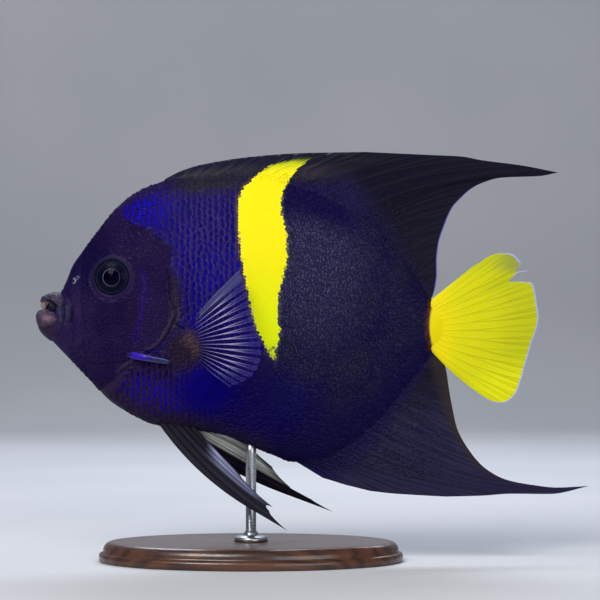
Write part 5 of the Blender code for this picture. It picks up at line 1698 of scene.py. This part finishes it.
def make_teeth(tree, material):
    """Fine brush teeth that hang from the upper jaw in a curved row, and short ones below."""
    roots, lies, sizes = [], [], []
    for row in range(3):
        for turn in np.linspace(-1.35, 1.35, 46):
            x = -98.6 - (6.4 - 0.45 * row) * math.cos(turn) ** 0.8
            length = np.interp(x, *TEETH)
            roots.append([x, (4.2 - 0.4 * row) * math.sin(turn), 130.1 - length / 2 - 0.15 * row])
            lies.append([math.sin(turn), math.cos(turn), 0.0])
            sizes.append([0.2, 0.17, length / 2])
    for turn in np.linspace(-1.2, 1.2, 40):
        roots.append([-98.9 - 5.4 * math.cos(turn), 3.9 * math.sin(turn), 125.3])
        lies.append([math.sin(turn), math.cos(turn), 0.0])
        sizes.append([0.17, 0.15, 0.7])
    count = len(roots)
    outs = np.tile([0.0, 0.0, -1.0], (count, 1))
    points = {"root": np.array(roots), "out": outs, "lie": np.array(lies), "size": np.array(sizes),
              "level": np.zeros(count),
              "patch": np.stack([np.linspace(0.05, 0.95, count), np.full(count, 0.5),
                                 np.zeros(count)], axis=1)}
    return lay_scales("teeth", tree, points, 6, 5, 0.0, material, 1.0)


# Stand

def lathe(name, outline, sides, foot, top):
    """A closed upright form from the half length, half width and height of its rings."""
    angles = turns(sides)
    rings = np.array([[rx * np.cos(angles), ry * np.sin(angles), z + 0 * angles] for rx, ry, z in outline])
    return closed_rings(name, rings.transpose(0, 2, 1), [0, 0, foot], [0, 0, top])


def make_base():
    """An oval wooden base with a moulded edge."""
    half_x, half_y = BASE_HALF
    inset = [(1.2, 0.0), (0.35, 0.25), (0.0, 1.0), (0.0, 3.2), (0.35, 4.1), (1.2, 4.6), (1.9, 4.9),
             (2.1, 5.6), (2.2, 6.6), (2.8, 8.0), (4.0, 9.2), (5.6, 9.85), (7.2, BASE_TOP)]
    inset += [(depth, BASE_TOP) for depth in (12.0, 24.0, 36.0, 45.0)]
    outline = [(half_x - depth, half_y - depth, z) for depth, z in inset]
    return lathe("stand_base_wood", outline, 160, 0.0, BASE_TOP)


def make_rod():
    """A turned steel rod with a stepped foot."""
    foot = [(8.1, 0.0), (8.5, 0.35), (8.5, 1.5), (8.2, 2.1), (7.4, 2.5), (4.3, 2.75), (3.9, 3.0),
            (3.55, 3.5), (3.45, 4.3), (3.1, 4.8), (ROD_RADIUS, 5.1)]
    outline = [(radius, radius, BASE_TOP + rise) for radius, rise in foot]
    outline += [(ROD_RADIUS, ROD_RADIUS, z) for z in (40.0, 54.0, ROD_TOP - 0.3)]
    return lathe("stand_rod_steel", outline, 64, BASE_TOP, ROD_TOP)


# Putting the fish together

skin = make_skin()
finish(skin, skin_finish(), "skin", "head", "trunk", "tail_stock", "gill_cover_left",
       "gill_cover_right")
lips = lip_finish()
finish(make_mouth(), mouth_finish(), "lips")
for label, jaw, node in (("upper_lip", UPPER_JAW, "upper_jaw"), ("lower_lip", LOWER_JAW, "lower_jaw")):
    finish(make_lip(label, jaw, node == "upper_jaw"), lips, "lips", node)
eye = eye_finish()
spine = cheek_spine_finish()
clear, pelvic = clear_fin_finish(), pelvic_fin_finish()
for word, side in SIDES.items():
    finish(make_eye(word, side), eye, "eye", "eye_" + word)
    finish(make_cheek_spine(word, side), spine, "cheek_spine", "cheek_spine_" + word)
    finish(make_pectoral(word, side), clear, "clear_fin", "pectoral_fin_" + word)
    finish(make_pelvic(word, side), pelvic, "pelvic_fin", "pelvic_fin_" + word)
dark = dark_fin_finish()
dorsal, anal = make_dorsal(), make_anal()
finish(dorsal[0], dark, "dark_fin", "dorsal_fin_spiny", "dorsal_fin_soft", "dorsal_fin_rear")
finish(anal[0], dark, "dark_fin", "anal_fin_front", "anal_fin_rear")
yellow = tail_finish()
finish(make_tail()[0], yellow, "yellow_fin", "caudal_fin")
finish(make_loose_ray(), yellow, "yellow_fin")
tree = make_scales(skin, dorsal, anal, scale_finish(), fin_scale_finish())
teeth = tooth_finish()
finish(make_teeth(tree, teeth), teeth, "lips")
finish(make_base(), wood_finish(), "stand_base", "stand_base")
finish(make_rod(), steel_finish(), "stand_rod", "stand_rod")


# Studio

def make_backdrop():
    """A pale floor that curves up into a backdrop."""
    bend = 500
    curve = [(-1600, 0), (1200, 0)]
    curve += [(1200 + bend * math.sin(a), bend - bend * math.cos(a)) for a in np.linspace(0.1, 1.5708, 16)]
    curve += [(1200 + bend, 2200)]
    points = [(x, y, z) for y, z in curve for x in (-2500, 2500)]
    faces = [(2 * k, 2 * k + 1, 2 * k + 3, 2 * k + 2) for k in range(len(curve) - 1)]
    floor = new_piece("studio_floor", points, faces)
    floor.data.materials.append(floor_finish())


def add_light(name, place, target, size, power, colour=(1, 1, 1)):
    """An oblong light, in metres, that points at a target."""
    lamp = bpy.data.lights.new(name, "AREA")
    lamp.shape, lamp.size, lamp.size_y = "RECTANGLE", size[0], size[1]
    lamp.energy, lamp.color = power, colour
    thing = bpy.data.objects.new(name, lamp)
    thing.location = place
    aim = Vector(target) - Vector(place)
    thing.rotation_euler = aim.to_track_quat("-Z", "Y").to_euler()
    bpy.context.scene.collection.objects.link(thing)


make_backdrop()
add_light("key", (-0.55, -1.0, 1.15), (0.02, 0, 0.12), (0.7, 0.7), 20)
add_light("front_fill", (0.7, -1.3, 0.5), (0.02, 0, 0.12), (0.9, 0.7), 7, (0.93, 0.95, 1.0))
add_light("back_rim", (0.1, 0.8, 0.9), (0.0, 0, 0.12), (1.0, 0.4), 10, (0.82, 0.88, 1.0))
world = bpy.data.worlds.new("studio")
world.use_nodes = True
world.node_tree.nodes["Background"].inputs["Color"].default_value = (0.75, 0.82, 1.0, 1)
world.node_tree.nodes["Background"].inputs["Strength"].default_value = 0.22
bpy.context.scene.world = world
bpy.context.scene.view_settings.view_transform = "Standard"

lens = bpy.data.cameras.new("camera")
lens.sensor_width, lens.lens = 36.0, 144.0
camera = bpy.data.objects.new("camera", lens)
camera.location = (0.0245, -1.2, 0.1305)
camera.rotation_euler = (math.pi / 2, 0, 0)
bpy.context.scene.collection.objects.link(camera)
bpy.context.scene.camera = camera
